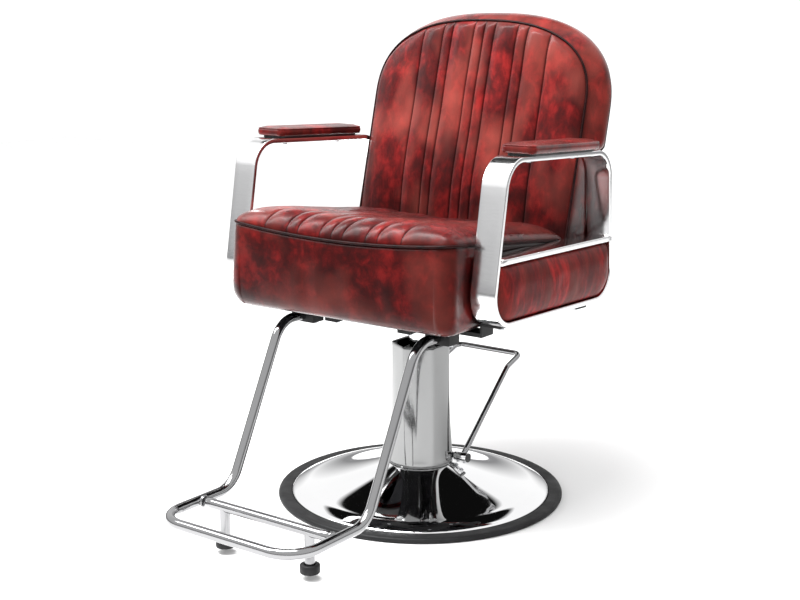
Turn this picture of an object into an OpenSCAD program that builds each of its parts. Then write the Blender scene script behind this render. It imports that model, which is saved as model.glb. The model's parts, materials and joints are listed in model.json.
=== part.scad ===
// Salon barber chair: a padded seat, back and arms on a hydraulic pump column.
// Origin: centre of the base, on the floor. +Z up, the sitter faces -Y, +X is the sitter's left.
// The pump is stored at its lowest, with the seat facing straight ahead.

/* [Base] */
// Outside diameter of the base, over its rubber rim
base_d = 600; // [560:5:700]
// Visible width of the rubber rim
rim_w = 28; // [20:1:36]
// Height of the rubber rim
rim_h = 11; // [10:0.5:14]
// Height of the dome's neck above the floor
dome_h = 72; // [66:1:80]
// Thickness of the dome's pressed steel
dome_wall = 2; // [1.5:0.5:3]
// Thickness of the steel weight plate under the dome
plate_t = 6; // [4:0.5:6]

/* [Column] */
// Height of the shroud's upper rim above the floor
shroud_top = 327; // [315:1:335]
// Radius over the corners of the six-sided upper rim
shroud_r_top = 60; // [56:1:64]
// Radius of the round lower end
shroud_r_bottom = 69; // [66:1:72]
// Wall of the shroud
shroud_wall = 1.5; // [1:0.5:2]
// Diameter of the lifting ram
ram_d = 46; // [40:1:50]
// Travel of the ram
lift_travel = 150; // [100:5:150]

/* [Pump lever] */
// Height of the lever's shaft above the floor
lever_z = 82.1; // [80:0.1:84]
// Distance of the shaft behind the column's axis
lever_y = 36.5; // [36:0.1:37.5]
// Distance of each leg of the lever from the middle
lever_half_w = 82.5; // [80:0.1:84]
// Length of the lever's legs from the shaft to their upper bend
lever_leg_l = 236; // [220:1:245]
// Angle of the legs above the horizontal when the lever is up
lever_rise = 42.2; // [38:0.1:43]
// Length of the lever's flatter end, from that bend to its foot bar
lever_end_l = 56; // [48:1:60]
// Angle of the flatter end above the horizontal when the lever is up
lever_end_rise = 18.2; // [14:0.1:24]
// Diameter of the lever's rod
lever_rod_d = 12; // [10:1:13]

/* [Seat] */
// Half width of the seat cushion
seat_half_w = 264; // [240:1:264]
// Distance of the cushion's front face ahead of the column's axis
seat_front = 285; // [270:1:300]
// Height of the cushion's underside above the floor
seat_bottom = 429; // [429:1:432]
// Corner radius of the cushion in plan
seat_corner_r = 30; // [20:1:50]
// Radius of the piping cord
piping_r = 3.5; // [2.5:0.5:4.5]

/* [Back] */
// Place of the back's front face behind the column's axis, at back_z
back_y = 118; // [118:1:125]
// Height at which back_y is measured
back_z = 560; // [560:1:560]
// Lean of the back from the vertical
back_lean = 14.1; // [12:0.1:15]
// Half width of the back
back_half_w = 262; // [240:1:263]
// Length of the back's straight sides above back_z
back_side_l = 267; // [240:1:290]
// Rise of the arched top above the straight sides
back_arch_h = 166; // [140:1:180]
// Length of the back below back_z
back_tail_l = 108; // [90:1:108]
// Thickness of the back's front cushion
back_cushion_t = 60; // [50:1:65]
// Thickness of the plywood between the two pads
back_board_t = 10; // [8:1:12]
// Thickness of the padded rear cover
back_cover_t = 18; // [12:1:22]

/* [Arms] */
// Width of the flat bar
bar_w = 53; // [48:1:53]
// Thickness of the flat bar
bar_t = 10; // [8:0.5:12]
// Distance of the bar's outer edge from the middle of the chair
arm_outer = 322; // [321:1:326]
// Turn of each arm towards the back's middle
arm_toe_in = 0.95; // [0:0.05:1]
// Height of the arm's top face, level with the column
arm_top_z = 737.6; // [720:0.1:750]
// Height of the arm's lower face, level with the column
arm_bottom_z = 428.2; // [428:0.1:429]
// Height of the cross bar's top face, level with the column
cross_top_z = 558; // [545:1:570]
// Corner radius outside the bends
arm_corner_r = 62; // [50:1:70]
// Length of the arm pad
pad_l = 268; // [240:1:280]
// Width of the arm pad
pad_w = 73; // [60:1:76]
// Thickness of the arm pad
pad_t = 19; // [15:1:24]
// Distance that the side panel stands past the bar
panel_proud = 11; // [0:1:12]

/* [Footrest] */
// Diameter of the footrest's tube
foot_tube_d = 20; // [18:1:22]
// Wall of the footrest's tube
foot_tube_wall = 2; // [1.5:0.5:3]
// Distance of each leg from the middle
foot_half_w = 166.5; // [150:1:180]
// Height of the foot frame's centre line
foot_z = 89.9; // [80:0.1:95]
// Distance of the front bar ahead of the column's axis
foot_front = 605; // [580:1:620]
// Distance of the rear cross bar ahead of the column's axis
foot_rear = 490; // [480:1:500]
// Height of the legs' upper run
foot_top_z = 395; // [395:1:395]
// Distance of each rubber foot from the middle
post_x = 103.4; // [90:0.1:120]

/* [Hidden] */
$fn = 64;
lap = 0.02;
chrome_colour = [0.80, 0.81, 0.82];
satin_colour = [0.70, 0.71, 0.72];
steel_colour = [0.45, 0.46, 0.48];
black_colour = [0.08, 0.08, 0.08];
leather_colour = [0.42, 0.06, 0.06];
piping_colour = [0.16, 0.02, 0.02];
wood_colour = [0.66, 0.50, 0.33];

// base
base_r = base_d / 2;
dome_edge_r = base_r - rim_w - 0.5;
rebate_z = rim_h - dome_wall;
rim_inner_r = base_r - 38;
rim_foot_h = 3;
dome_shoulder_r = base_r - 62;
dome_shoulder_z = 23.5;
neck_r = 66;
neck_bore_r = 60;
dome_power = 1.3;
dome_steps = 14;
base_bolt_circle_r = 66;
base_bolt_r = 5;

// column
ram_r = ram_d / 2;
run_gap = 0.05;
pump_r = 30;
pump_top = 292;
pump_flange_r = 82;
pump_flange_t = 10;
pump_floor_z = 108;
gland_top = 312;
wiper_top = 316;
ram_bottom = 110;
ram_top = 353;
spigot_r = 15;
spigot_top = 384;
washer_t = 3;
slot_w = 16;
slot_h = 33;

// pump lever and plunger
shaft_r = 6;
shaft_half_l = 94;
block_half_w = 18;
block_rear_y = 56;
block_top = 100;
cam_pocket_half_w = 7;
cam_half_w = 5;
cam_arm = 14;
cam_hub_r = 8;
cam_tip_r = 4;
cam_rise = 14;
cam_root = [3, 5];
cam_tip = cam_arm * [cos(cam_rise), sin(cam_rise)];
plunger_y = lever_y + cam_arm;
plunger_r = 3;
plunger_head_r = 5.2;
plunger_head_t = 4;
plunger_top = lever_z - 1;
plunger_bottom = 40;
pocket_floor = 60;
clamp_in = 65;
clamp_out = 96;
clamp_r = 9.5;
bail_corner_r = 15;
bail_bend_r = 24;
lever_sides = 20;
cap_t = 2;

// seat frame
hub_bottom = 356.2;
hub_r = 34;
plate_z = 386;
seat_plate_t = 6;
seat_plate_x = 120;
seat_plate_y = 85;
long_rail_x = 90;
long_rail_w = 30;
long_rail_z = plate_z + seat_plate_t;
long_rail_h = 17;
cross_rail_z = long_rail_z + long_rail_h;
cross_rail_h = 8;
cross_rail_w = 40;
cross_rail_half_l = 264.5;
bracket_plate_t = 4;
bracket_front_x = 308;
bracket_rear_x = 318;
front_rail_y = -165;
rear_rail_y = 105;
board_z = cross_rail_z + cross_rail_h;
board_t = seat_bottom - board_z;
board_half_w = 235;
board_front = 255;
board_rear = 62;
m8_r = 4;
m6_r = 3;
drill_gap = 0.2;

// seat cushion, with the piping's height along the front and the sides
seat_back_gap = 4.5;
piping_front_z = 578;
piping_corner_rise = 16;
piping_side_drop = 0.104;
piping_rear_y = 100;
piping_sides = 8;

// back
back_power = 2.55;
back_steps = 16;
bracket_x = 150;
bracket_w = 40;
bracket_t = 6;
bracket_top_l = 60;

// arms
arm_mid = arm_outer - bar_w / 2;
arm_top_drop = 0.045;
arm_bottom_drop = 0.038;
cross_drop = 0.032;
arm_corners = [arm_corner(-190, arm_top_z, arm_top_drop), arm_corner(214, arm_top_z, arm_top_drop),
    arm_corner(235, arm_bottom_z, arm_bottom_drop), arm_corner(-245, arm_bottom_z, arm_bottom_drop)];
cross_t = 11;
pad_mid_y = 9;
pad_outset = 2;
pad_gap = 4;
pad_corner_r = 14;
pad_screw_r = 2;
pad_screw_y = 85;
panel_gap = 1;
panel_inner = arm_mid - bar_w / 2 + 3;

// footrest
foot_r = foot_tube_d / 2;
foot_leg_top_y = -248.5;
foot_leg_bottom_y = -403;
foot_bend_r = 60;
foot_sides = 16;
foot_end_y = -140;
rubber_r = 18.7;
rubber_bottom = 11;
rubber_top = 28;
post_bottom = 17;
saddle_half_w = 28;
saddle_l = 34;
saddle_bottom = foot_top_z - foot_r - 4;
saddle_bolt_out = 20;

function unit(v) = v / norm(v);
function arm_corner(y, z, drop) = [y, z - drop * y];
function arm_mid_x(y) = arm_mid - y * tan(arm_toe_in);
function arm_floor(y) = arm_bottom_z - arm_bottom_drop * y;
function arm_roof(y) = arm_top_z - arm_top_drop * y;

// Half the angle between the two edges that meet at corner b
function half_angle(a, b, c) = acos(unit(a - b) * unit(c - b)) / 2;
function fillet_centre(a, b, c, r) = b + unit(unit(a - b) + unit(c - b)) * r / sin(half_angle(a, b, c));
function before(list, i) = list[(i + len(list) - 1) % len(list)];
function after(list, i) = list[(i + 1) % len(list)];

// The corners of the same outline, moved in by t, where r is the outer fillet
function inset(list, r, t) = [for (i = [0:len(list) - 1])
    let (centre = fillet_centre(before(list, i), list[i], after(list, i), r))
    centre + (list[i] - centre) * (r - t) / r];

// Height of the dome's outer face at radius r, inside its shoulder
function dome_z(r) = dome_shoulder_z + (dome_h - dome_shoulder_z)
    * pow((dome_shoulder_r - r) / (dome_shoulder_r - neck_r), dome_power);

// A point of the back, x across, s up its lean and n behind its front face
function back_point(x, s, n) = [x, back_y + s * sin(back_lean) + n * cos(back_lean),
    back_z + s * cos(back_lean) - n * sin(back_lean)];

// One point of the back's arched top, t from 0 at its right end to 180 at its left
function arch_point(t, w) = [w * sign(cos(t)) * pow(abs(cos(t)), 2 / back_power),
    back_side_l + back_arch_h * pow(sin(t), 2 / back_power)];
function back_outline(margin) = [[back_half_w - margin, -back_tail_l + margin],
    for (i = [0:back_steps]) arch_point(180 * i / back_steps, back_half_w - margin) - [0, margin],
    [margin - back_half_w, -back_tail_l + margin]];

// Height of the seat's piping at a place on its outline
function piping_z(x, y) = piping_front_z + piping_corner_rise * pow(x / seat_half_w, 2)
    - piping_side_drop * (y + seat_front);
function seat_piping_plan() = let (w = seat_half_w, r = seat_corner_r, f = -seat_front) concat(
    [for (i = [0:5]) [w, piping_rear_y + (f + r - piping_rear_y) * i / 5]],
    [for (i = [1:5]) [w - r + r * cos(18 * i), f + r - r * sin(18 * i)]],
    [for (i = [1:9]) [(w - r) * (1 - i / 5), f]],
    [for (i = [0:5]) [r - w - r * sin(18 * i), f + r - r * cos(18 * i)]],
    [for (i = [1:5]) [-w, f + r + (piping_rear_y - f - r) * i / 5]]);
function back_piping_path() = [for (p = back_outline(0)) back_point(p.x, p.y, 0)];

// A bar of radius r from point a to point b
module rod(a, b, r) {
    d = b - a;
    translate(a) rotate([0, acos(d.z / norm(d)), atan2(d.y, d.x)]) cylinder(h = norm(d), r = r);
}

// The bend of a bar at corner b of a route in the XY plane; the bar's section is the child
module bend(a, b, c, bend_r) {
    u = unit(b - a);
    v = unit(c - b);
    turn = atan2(u.x * v.y - u.y * v.x, u * v);
    reach = bend_r * tan(abs(turn) / 2);
    centre = b - u * reach + [-u.y, u.x] * bend_r * sign(turn);
    first = turn > 0 ? b - u * reach : b + v * reach;
    translate([centre.x, centre.y, 0]) rotate([0, 0, atan2(first.y - centre.y, first.x - centre.x)])
        rotate_extrude(angle = abs(turn)) translate([bend_r, 0]) children();
}

// A bar along a route in the XY plane, bent to bend_r at each corner; its section is the child.
// The straight runs lap a little way into the bends, so that the whole bar is one solid.
module bent(route, bend_r) {
    last = len(route) - 1;
    reach = [for (i = [0:last]) i == 0 || i == last ? 0 :
        bend_r * tan(90 - half_angle(before(route, i), route[i], after(route, i)))];
    for (i = [0:last - 1]) {
        u = unit(after(route, i) - route[i]);
        a = route[i] + u * reach[i];
        l = norm(after(route, i) - route[i]) - reach[i] - after(reach, i);
        translate([a.x - lap * u.x, a.y - lap * u.y, 0]) rotate([90, 0, atan2(u.y, u.x) + 90])
            linear_extrude(l + 2 * lap) children();
    }
    for (i = [1:last - 1])
        bend(before(route, i), route[i], after(route, i), bend_r) children();
}

// A convex outline whose corners are rounded to r
module rounded(corners, r) {
    n = len(corners);
    polygon([for (i = [0:n - 1]) let (a = before(corners, i), b = corners[i], c = after(corners, i),
        reach = r / tan(half_angle(a, b, c))) each [b + unit(a - b) * reach, b + unit(c - b) * reach]]);
    for (i = [0:n - 1]) translate(fillet_centre(before(corners, i), corners[i], after(corners, i), r))
        circle(r);
}

// The round corner at b of a line through a, b and c, in short chords
function round_corner(a, b, c, r, steps) = let (centre = fillet_centre(a, b, c, r),
    reach = r / tan(half_angle(a, b, c)), from = b + unit(a - b) * reach - centre,
    to = b + unit(c - b) * reach - centre)
    [for (k = [0:steps]) centre + r * unit(from * (1 - k / steps) + to * k / steps)];

// The same outline as points, with each round corner in short chords
function rounded_points(corners, r, steps = 12) = [for (i = [0:len(corners) - 1])
    each round_corner(before(corners, i), corners[i], after(corners, i), r, steps)];

module rounded_box(half_x, y0, y1, r) {
    rounded([[half_x, y0], [half_x, y1], [-half_x, y1], [-half_x, y0]], r);
}

// Rings of points round a route; flat is the normal of the plane that the route keeps near
function rings(route, r, sides, flat) = let (last = len(route) - 1) [for (i = [0:last])
    let (along = unit(route[min(i + 1, last)] - route[max(i - 1, 0)]),
        across = unit(cross(along, flat)), up = cross(across, along))
    for (k = [0:sides - 1]) route[i] + r * (across * cos(360 * k / sides) + up * sin(360 * k / sides))];

// Triangles between one ring of points and another, each given by its first point's number
function wall(a, b, sides) = [for (k = [0:sides - 1]) let (m = (k + 1) % sides)
    each [[a + k, b + k, b + m], [a + k, b + m, a + m]]];

// A round cord along a route
module cord(route, r, sides, flat) {
    last = len(route) - 1;
    walls = [for (i = [0:last - 1]) each wall(i * sides, (i + 1) * sides, sides)];
    start_cap = [for (k = [1:sides - 2]) [0, k, k + 1]];
    end_cap = [for (k = [1:sides - 2]) [last * sides, last * sides + k + 1, last * sides + k]];
    polyhedron(points = rings(route, r, sides, flat), faces = concat(walls, start_cap, end_cap));
}

// A round tube along a route, open at both ends
module tube(route, r, bore_r, sides, flat) {
    last = len(route) - 1;
    bore = (last + 1) * sides;
    walls = [for (i = [0:last - 1]) each concat(wall(i * sides, (i + 1) * sides, sides),
        wall(bore + (i + 1) * sides, bore + i * sides, sides))];
    polyhedron(points = concat(rings(route, r, sides, flat), rings(route, bore_r, sides, flat)),
        faces = concat(walls, wall(bore, 0, sides), wall(last * sides, bore + last * sides, sides)));
}

// Draws a YZ outline as a slab from x0 to x1
module slab_x(x0, x1) {
    translate([x0, 0, 0]) rotate([90, 0, 90]) linear_extrude(x1 - x0) children();
}

// Puts what is drawn for the left arm on either side, with its toe-in
module on_arm(side) {
    mirror([side < 0 ? 1 : 0, 0, 0])
        translate([arm_mid, 0, 0]) rotate([0, 0, arm_toe_in]) translate([-arm_mid, 0, 0]) children();
}

// Draws a plate in the back's own plane, from depth n0 to n1
module on_back(n0, n1) {
    translate([0, back_y, back_z]) rotate([90 - back_lean, 0, 0])
        translate([0, 0, -n1]) linear_extrude(n1 - n0) children();
}

module bolt(r, l, head_r, head_h) {
    cylinder(h = l, r = r);
    translate([0, 0, -head_h]) cylinder(h = head_h, r = head_r, $fn = 6);
}

// ---- base ----

module base_ring() {
    color(black_colour) rotate_extrude($fn = 128) polygon([[rim_inner_r - 12, 0], [base_r - 3, 0],
        [base_r, 3], [base_r, rim_h - 4], [base_r - 4, rim_h], [dome_edge_r + 0.5, rim_h],
        [dome_edge_r + 0.5, rebate_z], [rim_inner_r, rebate_z], [rim_inner_r, rim_foot_h],
        [rim_inner_r - 12, rim_foot_h]]);
}

module base_bolt_places() {
    for (i = [0:3]) rotate([0, 0, 45 + 90 * i]) translate([base_bolt_circle_r, 0, 0]) children();
}

module base_plate() {
    color(steel_colour) difference() {
        translate([0, 0, rim_foot_h]) cylinder(h = plate_t, r = rim_inner_r - 0.3);
        base_bolt_places() cylinder(h = rebate_z + 1, r = base_bolt_r + drill_gap);
    }
}

module base_dome() {
    step = (dome_shoulder_r - neck_r) / dome_steps;
    outer = concat([[dome_edge_r, rebate_z + dome_wall], [base_r - 38, 16.5], [base_r - 50, 21]],
        [for (i = [0:dome_steps]) let (r = dome_shoulder_r - step * i) [r, dome_z(r)]],
        [[neck_bore_r, dome_h]]);
    last = len(outer) - 1;
    inner = [for (i = [last:-1:0]) outer[i] - [0, dome_wall]];
    color(chrome_colour) rotate_extrude($fn = 128) polygon(concat(outer, inner));
}

module base_bolts() {
    top = rim_foot_h + plate_t + pump_flange_t;
    color(steel_colour) base_bolt_places() translate([0, 0, top]) mirror([0, 0, 1])
        bolt(base_bolt_r, top - 1, 9, 6);
}

// ---- hydraulic pump ----

module lever_shaft_line(r) {
    translate([0, lever_y, lever_z]) rotate([0, 90, 0])
        cylinder(h = 2 * shaft_half_l, r = r, center = true);
}

module pump_body() {
    floor_z = rim_foot_h + plate_t;
    color(steel_colour) difference() {
        union() {
            translate([0, 0, floor_z]) cylinder(h = pump_flange_t, r = pump_flange_r);
            translate([0, 0, floor_z]) cylinder(h = pump_top - floor_z, r = pump_r);
            translate([-block_half_w, 0, floor_z])
                cube([2 * block_half_w, block_rear_y, block_top - floor_z]);
        }
        translate([0, 0, pump_floor_z]) cylinder(h = pump_top, r = ram_r + run_gap);
        translate([-cam_pocket_half_w, lever_y - cam_hub_r - 1.5, pocket_floor])
            cube([2 * cam_pocket_half_w, block_rear_y, block_top]);
        lever_shaft_line(shaft_r + run_gap);
        translate([0, plunger_y, plunger_bottom - 12])
            cylinder(h = pocket_floor, r = plunger_r + run_gap);
        base_bolt_places() cylinder(h = 2 * floor_z + pump_flange_t, r = base_bolt_r + drill_gap);
    }
}

module sleeve(z0, z1, outer_r, inner_r) {
    translate([0, 0, z0]) difference() {
        cylinder(h = z1 - z0, r = outer_r);
        translate([0, 0, -1]) cylinder(h = z1 - z0 + 2, r = inner_r);
    }
}

module pump_gland() {
    color(steel_colour) sleeve(pump_top, gland_top, 36, ram_r + run_gap);
}

module ram_wiper() {
    color(black_colour) sleeve(gland_top, wiper_top, 31, ram_r + run_gap);
}

// A shell that is round at its foot and six-sided, with soft corners, at its rim
module shroud_skin(inset_t, over) {
    soft = 9;
    hull() {
        translate([0, 0, dome_h - over]) cylinder(h = 1, r = shroud_r_bottom - inset_t, $fn = 72);
        translate([0, 0, shroud_top - 1 + over]) linear_extrude(1)
            offset(r = soft, $fn = 48) rotate([0, 0, 30])
                circle(r = shroud_r_top - inset_t / cos(30) - soft / cos(30) + 1.4, $fn = 6);
    }
}

module column_shroud() {
    color(chrome_colour) difference() {
        shroud_skin(0, 0);
        shroud_skin(shroud_wall, 1);
        for (side = [-1, 1]) translate([side * shroud_r_bottom, lever_y, dome_h + slot_h / 2])
            cube([40, slot_w, slot_h + 2], center = true);
    }
}

module pump_plunger() {
    color(steel_colour) translate([0, plunger_y, 0]) {
        translate([0, 0, plunger_bottom]) cylinder(h = plunger_top - plunger_bottom, r = plunger_r);
        translate([0, 0, plunger_top - plunger_head_t]) cylinder(h = plunger_head_t, r = plunger_head_r);
    }
}

module plunger_spring() {
    coils = 5;
    per_coil = 12;
    wire_r = 0.6;
    mean_r = 4.3;
    low = pocket_floor + wire_r + 0.1;
    high = plunger_top - plunger_head_t - wire_r - 0.1;
    route = [for (i = [0:coils * per_coil]) [mean_r * cos(360 * i / per_coil),
        mean_r * sin(360 * i / per_coil) + plunger_y, low + (high - low) * i / (coils * per_coil)]];
    color(steel_colour) cord(route, wire_r, 6, [0, 0, 1]);
}

module ram() {
    color(chrome_colour) {
        translate([0, 0, ram_bottom]) cylinder(h = ram_top - ram_bottom, r = ram_r);
        translate([0, 0, ram_bottom]) cylinder(h = spigot_top - ram_bottom, r = spigot_r);
    }
}

module thrust_washer() {
    color(steel_colour) sleeve(ram_top, ram_top + washer_t, 22, spigot_r + 0.2);
}

// ---- pump lever ----

module lever_shaft() {
    color(steel_colour) lever_shaft_line(shaft_r);
}

// The finger on the shaft that pushes the plunger down; its underside clears the plunger's head
module lever_cam() {
    reach = cam_tip - cam_root;
    color(steel_colour) difference() {
        translate([0, lever_y, lever_z]) slab_x(-cam_half_w, cam_half_w) {
            circle(r = cam_hub_r);
            translate(cam_root) rotate([0, 0, atan2(reach.y, reach.x)]) {
                circle(r = cam_tip_r);
                translate([0, -cam_tip_r]) square([norm(reach), 2 * cam_tip_r]);
                translate([norm(reach), 0]) circle(r = cam_tip_r);
            }
        }
        lever_shaft_line(shaft_r);
    }
}

// Turns what is drawn in the XY plane up by an angle about the lever's shaft
module on_lever(rise) {
    translate([0, lever_y, lever_z]) rotate([rise, 0, 0]) children();
}

// The rod's route, drawn with its legs along Y: up a leg, across the foot bar and down again
module lever_bail() {
    w = lever_half_w;
    turn = lever_rise - lever_end_rise;
    start = shaft_r + 0.3;
    bar = [lever_leg_l + lever_end_l * cos(turn), -lever_end_l * sin(turn)];
    c = [[w, start, 0], [w, lever_leg_l, 0], [w, bar.x, bar.y],
        [-w, bar.x, bar.y], [-w, lever_leg_l, 0], [-w, start, 0]];
    route = concat([c[0]], round_corner(c[0], c[1], c[2], bail_bend_r, 6),
        round_corner(c[1], c[2], c[3], bail_corner_r, 10),
        round_corner(c[2], c[3], c[4], bail_corner_r, 10),
        round_corner(c[3], c[4], c[5], bail_bend_r, 6), [c[5]]);
    color(chrome_colour) on_lever(lever_rise) cord(route, lever_rod_d / 2, lever_sides, [0, 0, 1]);
}

module lever_clamps() {
    color(chrome_colour) difference() {
        for (side = [-1, 1]) translate([side * (clamp_in + clamp_out) / 2, lever_y, lever_z])
            rotate([0, 90, 0]) cylinder(h = clamp_out - clamp_in, r = clamp_r, center = true);
        lever_shaft_line(shaft_r);
        for (side = [-1, 1]) on_lever(lever_rise) rod([side * lever_half_w, 0, 0],
            [side * lever_half_w, 2 * clamp_r, 0], lever_rod_d / 2);
        lever_screw_places() cylinder(h = clamp_r, r = m6_r);
    }
}

module lever_screw_places() {
    for (x = [-88, -72, 72, 88]) translate([x, lever_y, lever_z - clamp_r - 1]) children();
}

module lever_set_screws() {
    color(steel_colour) difference() {
        lever_screw_places() bolt(m6_r, clamp_r - shaft_r + 1, 4, 1.5);
        lever_shaft_line(shaft_r);
    }
}

module lever_end_caps() {
    color(black_colour) for (side = [-1, 1])
        translate([side * (clamp_out + cap_t / 2), lever_y, lever_z]) rotate([0, 90, 0])
            cylinder(h = cap_t, r = clamp_r, center = true);
}

// ---- seat frame ----

module swivel_hub() {
    color(steel_colour) sleeve(hub_bottom, plate_z, hub_r, spigot_r + run_gap);
}

module plate_bolt_places() {
    for (x = [-long_rail_x, long_rail_x], y = [-65, 65]) translate([x, y, plate_z]) children();
}

module frame_bolt_places() {
    for (x = [-long_rail_x, long_rail_x], y = [front_rail_y, rear_rail_y])
        translate([x, y, long_rail_z]) children();
}

module arm_bolt_places() {
    for (side = [-1, 1], y = [front_rail_y, rear_rail_y])
        translate([side * arm_mid_x(y), y, cross_rail_z]) children();
}

module seat_plate() {
    color(black_colour) difference() {
        translate([0, 0, plate_z]) linear_extrude(seat_plate_t)
            rounded_box(seat_plate_x, -seat_plate_y, seat_plate_y, 12);
        plate_bolt_places() translate([0, 0, -1]) cylinder(h = 20, r = m8_r + drill_gap);
    }
}

module plate_bolts() {
    color(steel_colour) plate_bolt_places() bolt(m8_r, seat_plate_t + long_rail_h - 1, 7, 5);
}

module long_rails() {
    color(black_colour) difference() {
        for (x = [-long_rail_x, long_rail_x])
            translate([x - long_rail_w / 2, front_rail_y - cross_rail_w / 2, long_rail_z])
                cube([long_rail_w, rear_rail_y - front_rail_y + cross_rail_w, long_rail_h]);
        plate_bolt_places() cylinder(h = 60, r = m8_r + drill_gap);
        frame_bolt_places() translate([0, 0, -1]) cylinder(h = 60, r = m8_r + drill_gap);
    }
}

module cross_rails() {
    color(black_colour) difference() {
        for (y = [front_rail_y, rear_rail_y])
            translate([-cross_rail_half_l, y - cross_rail_w / 2, cross_rail_z])
                cube([2 * cross_rail_half_l, cross_rail_w, cross_rail_h]);
        frame_bolt_places() cylinder(h = 60, r = m8_r + drill_gap);
        saddle_bolt_places() cylinder(h = 60, r = m6_r + drill_gap);
    }
}

module frame_bolts() {
    color(steel_colour) frame_bolt_places()
        bolt(m8_r, long_rail_h + cross_rail_h + board_t - 1, 7, 5);
}

// One angle bracket: a plate welded to the rail's end, and a tab under the arm that follows its slope
module arm_bracket(y, reach_x) {
    rise = arm_bottom_drop * cross_rail_w / 2;
    slab_x(cross_rail_half_l, cross_rail_half_l + bracket_plate_t) polygon([
        [y - cross_rail_w / 2, cross_rail_z], [y + cross_rail_w / 2, cross_rail_z],
        [y + cross_rail_w / 2, arm_floor(y) - rise], [y - cross_rail_w / 2, arm_floor(y) + rise]]);
    slab_x(cross_rail_half_l + bracket_plate_t - lap, reach_x) polygon([
        [y - cross_rail_w / 2, arm_floor(y) + rise - bracket_plate_t],
        [y + cross_rail_w / 2, arm_floor(y) - rise - bracket_plate_t],
        [y + cross_rail_w / 2, arm_floor(y) - rise], [y - cross_rail_w / 2, arm_floor(y) + rise]]);
}

module arm_brackets() {
    color(black_colour) difference() {
        for (turn = [0, 1]) mirror([turn, 0, 0]) {
            arm_bracket(front_rail_y, bracket_front_x);
            arm_bracket(rear_rail_y, bracket_rear_x);
        }
        arm_bolt_places() translate([0, 0, -1]) cylinder(h = 60, r = m8_r + drill_gap);
    }
}

module seat_board() {
    color(wood_colour) difference() {
        translate([0, 0, board_z]) linear_extrude(board_t)
            rounded_box(board_half_w, -board_front, board_rear, 20);
        frame_bolt_places() cylinder(h = 60, r = m8_r + drill_gap);
    }
}

module seat_cushion() {
    rear_low = back_y - (back_z - seat_bottom) * tan(back_lean) - seat_back_gap;
    rear_high = back_y + (575 - back_z) * tan(back_lean) - seat_back_gap;
    color(leather_colour) intersection() {
        slab_x(-seat_half_w, seat_half_w) polygon([[-seat_front, seat_bottom + 22],
            [-seat_front + 6, seat_bottom + 8], [-seat_front + 22, seat_bottom], [rear_low, seat_bottom],
            [rear_high, 575], [20, 588], [-100, 604], [-190, 611], [-245, 607], [-seat_front, 586]]);
        translate([0, 0, seat_bottom]) linear_extrude(300)
            rounded_box(seat_half_w, -seat_front, back_y + 60, seat_corner_r);
    }
}

module seat_piping() {
    route = [for (p = seat_piping_plan()) [p.x, p.y, piping_z(p.x, p.y)]];
    color(piping_colour) cord(route, piping_r, piping_sides, [0, 0, 1]);
}

// ---- back ----

module back_bolt_places() {
    for (x = [-bracket_x, bracket_x], s = [-60, 20]) translate([x, s]) children();
}

module back_cushion() {
    color(leather_colour) on_back(0, back_cushion_t) polygon(back_outline(0));
}

module back_piping() {
    ahead = [0, -cos(back_lean), sin(back_lean)];
    color(piping_colour) cord(back_piping_path(), piping_r, piping_sides, ahead);
}

module back_board() {
    n = back_cushion_t;
    color(wood_colour) difference() {
        on_back(n, n + back_board_t) polygon(back_outline(12));
        on_back(n - 1, n + 60) back_bolt_places() circle(m6_r + drill_gap);
    }
}

module back_cover() {
    n = back_cushion_t + back_board_t;
    color(leather_colour) difference() {
        on_back(n, n + back_cover_t) polygon(back_outline(0));
        on_back(n - 1, n + 60) back_bolt_places() circle(m6_r + drill_gap);
    }
}

// Distance up the back's lean at which depth n is at height z
function back_s(z, n) = (z - back_z + n * sin(back_lean)) / cos(back_lean);

// Angled straps from the rear rail up behind the back
module back_brackets() {
    n = back_cushion_t + back_board_t + back_cover_t;
    foot_y = rear_rail_y - cross_rail_w / 2 + 4;
    knee_z = board_z + bracket_t;
    line = [back_point(0, bracket_top_l, n), back_point(0, back_s(knee_z, n), n), [0, foot_y, knee_z],
        [0, foot_y, board_z], back_point(0, back_s(board_z, n + bracket_t), n + bracket_t),
        back_point(0, bracket_top_l, n + bracket_t)];
    color(black_colour) difference() {
        for (x = [-bracket_x, bracket_x]) slab_x(x - bracket_w / 2, x + bracket_w / 2)
            polygon([for (p = line) [p.y, p.z]]);
        on_back(n - 1, n + 60) back_bolt_places() circle(m6_r + drill_gap);
    }
}

module back_bolts() {
    n = back_cushion_t + 1;
    out = back_cushion_t + back_board_t + back_cover_t + bracket_t;
    color(steel_colour) {
        on_back(n, out) back_bolt_places() circle(m6_r);
        on_back(out, out + 4) back_bolt_places() circle(6, $fn = 6);
    }
}

// ---- arms ----

module arm_loop(side) {
    color(satin_colour) difference() {
        on_arm(side) slab_x(arm_outer - bar_w, arm_outer) difference() {
            polygon(rounded_points(arm_corners, arm_corner_r));
            polygon(rounded_points(inset(arm_corners, arm_corner_r, bar_t), arm_corner_r - bar_t));
        }
        arm_bolt_places() cylinder(h = 60, r = m8_r + drill_gap);
        pad_screw_places() cylinder(h = 60, r = pad_screw_r + drill_gap);
    }
}

module pad_screw_places() {
    for (side = [-1, 1], y = [pad_mid_y - pad_screw_y, pad_mid_y + pad_screw_y])
        translate([side * arm_mid_x(y), y, arm_roof(y) - bar_t - 3]) children();
}

// A band across the loop's inside, whose top face is at height top level with the column
module loop_band(margin, top, depth) {
    intersection() {
        polygon(rounded_points(inset(arm_corners, arm_corner_r, bar_t + margin),
            arm_corner_r - bar_t - margin));
        polygon([[-400, top + 400 * cross_drop], [400, top - 400 * cross_drop],
            [400, top - depth - 400 * cross_drop], [-400, top - depth + 400 * cross_drop]]);
    }
}

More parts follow.
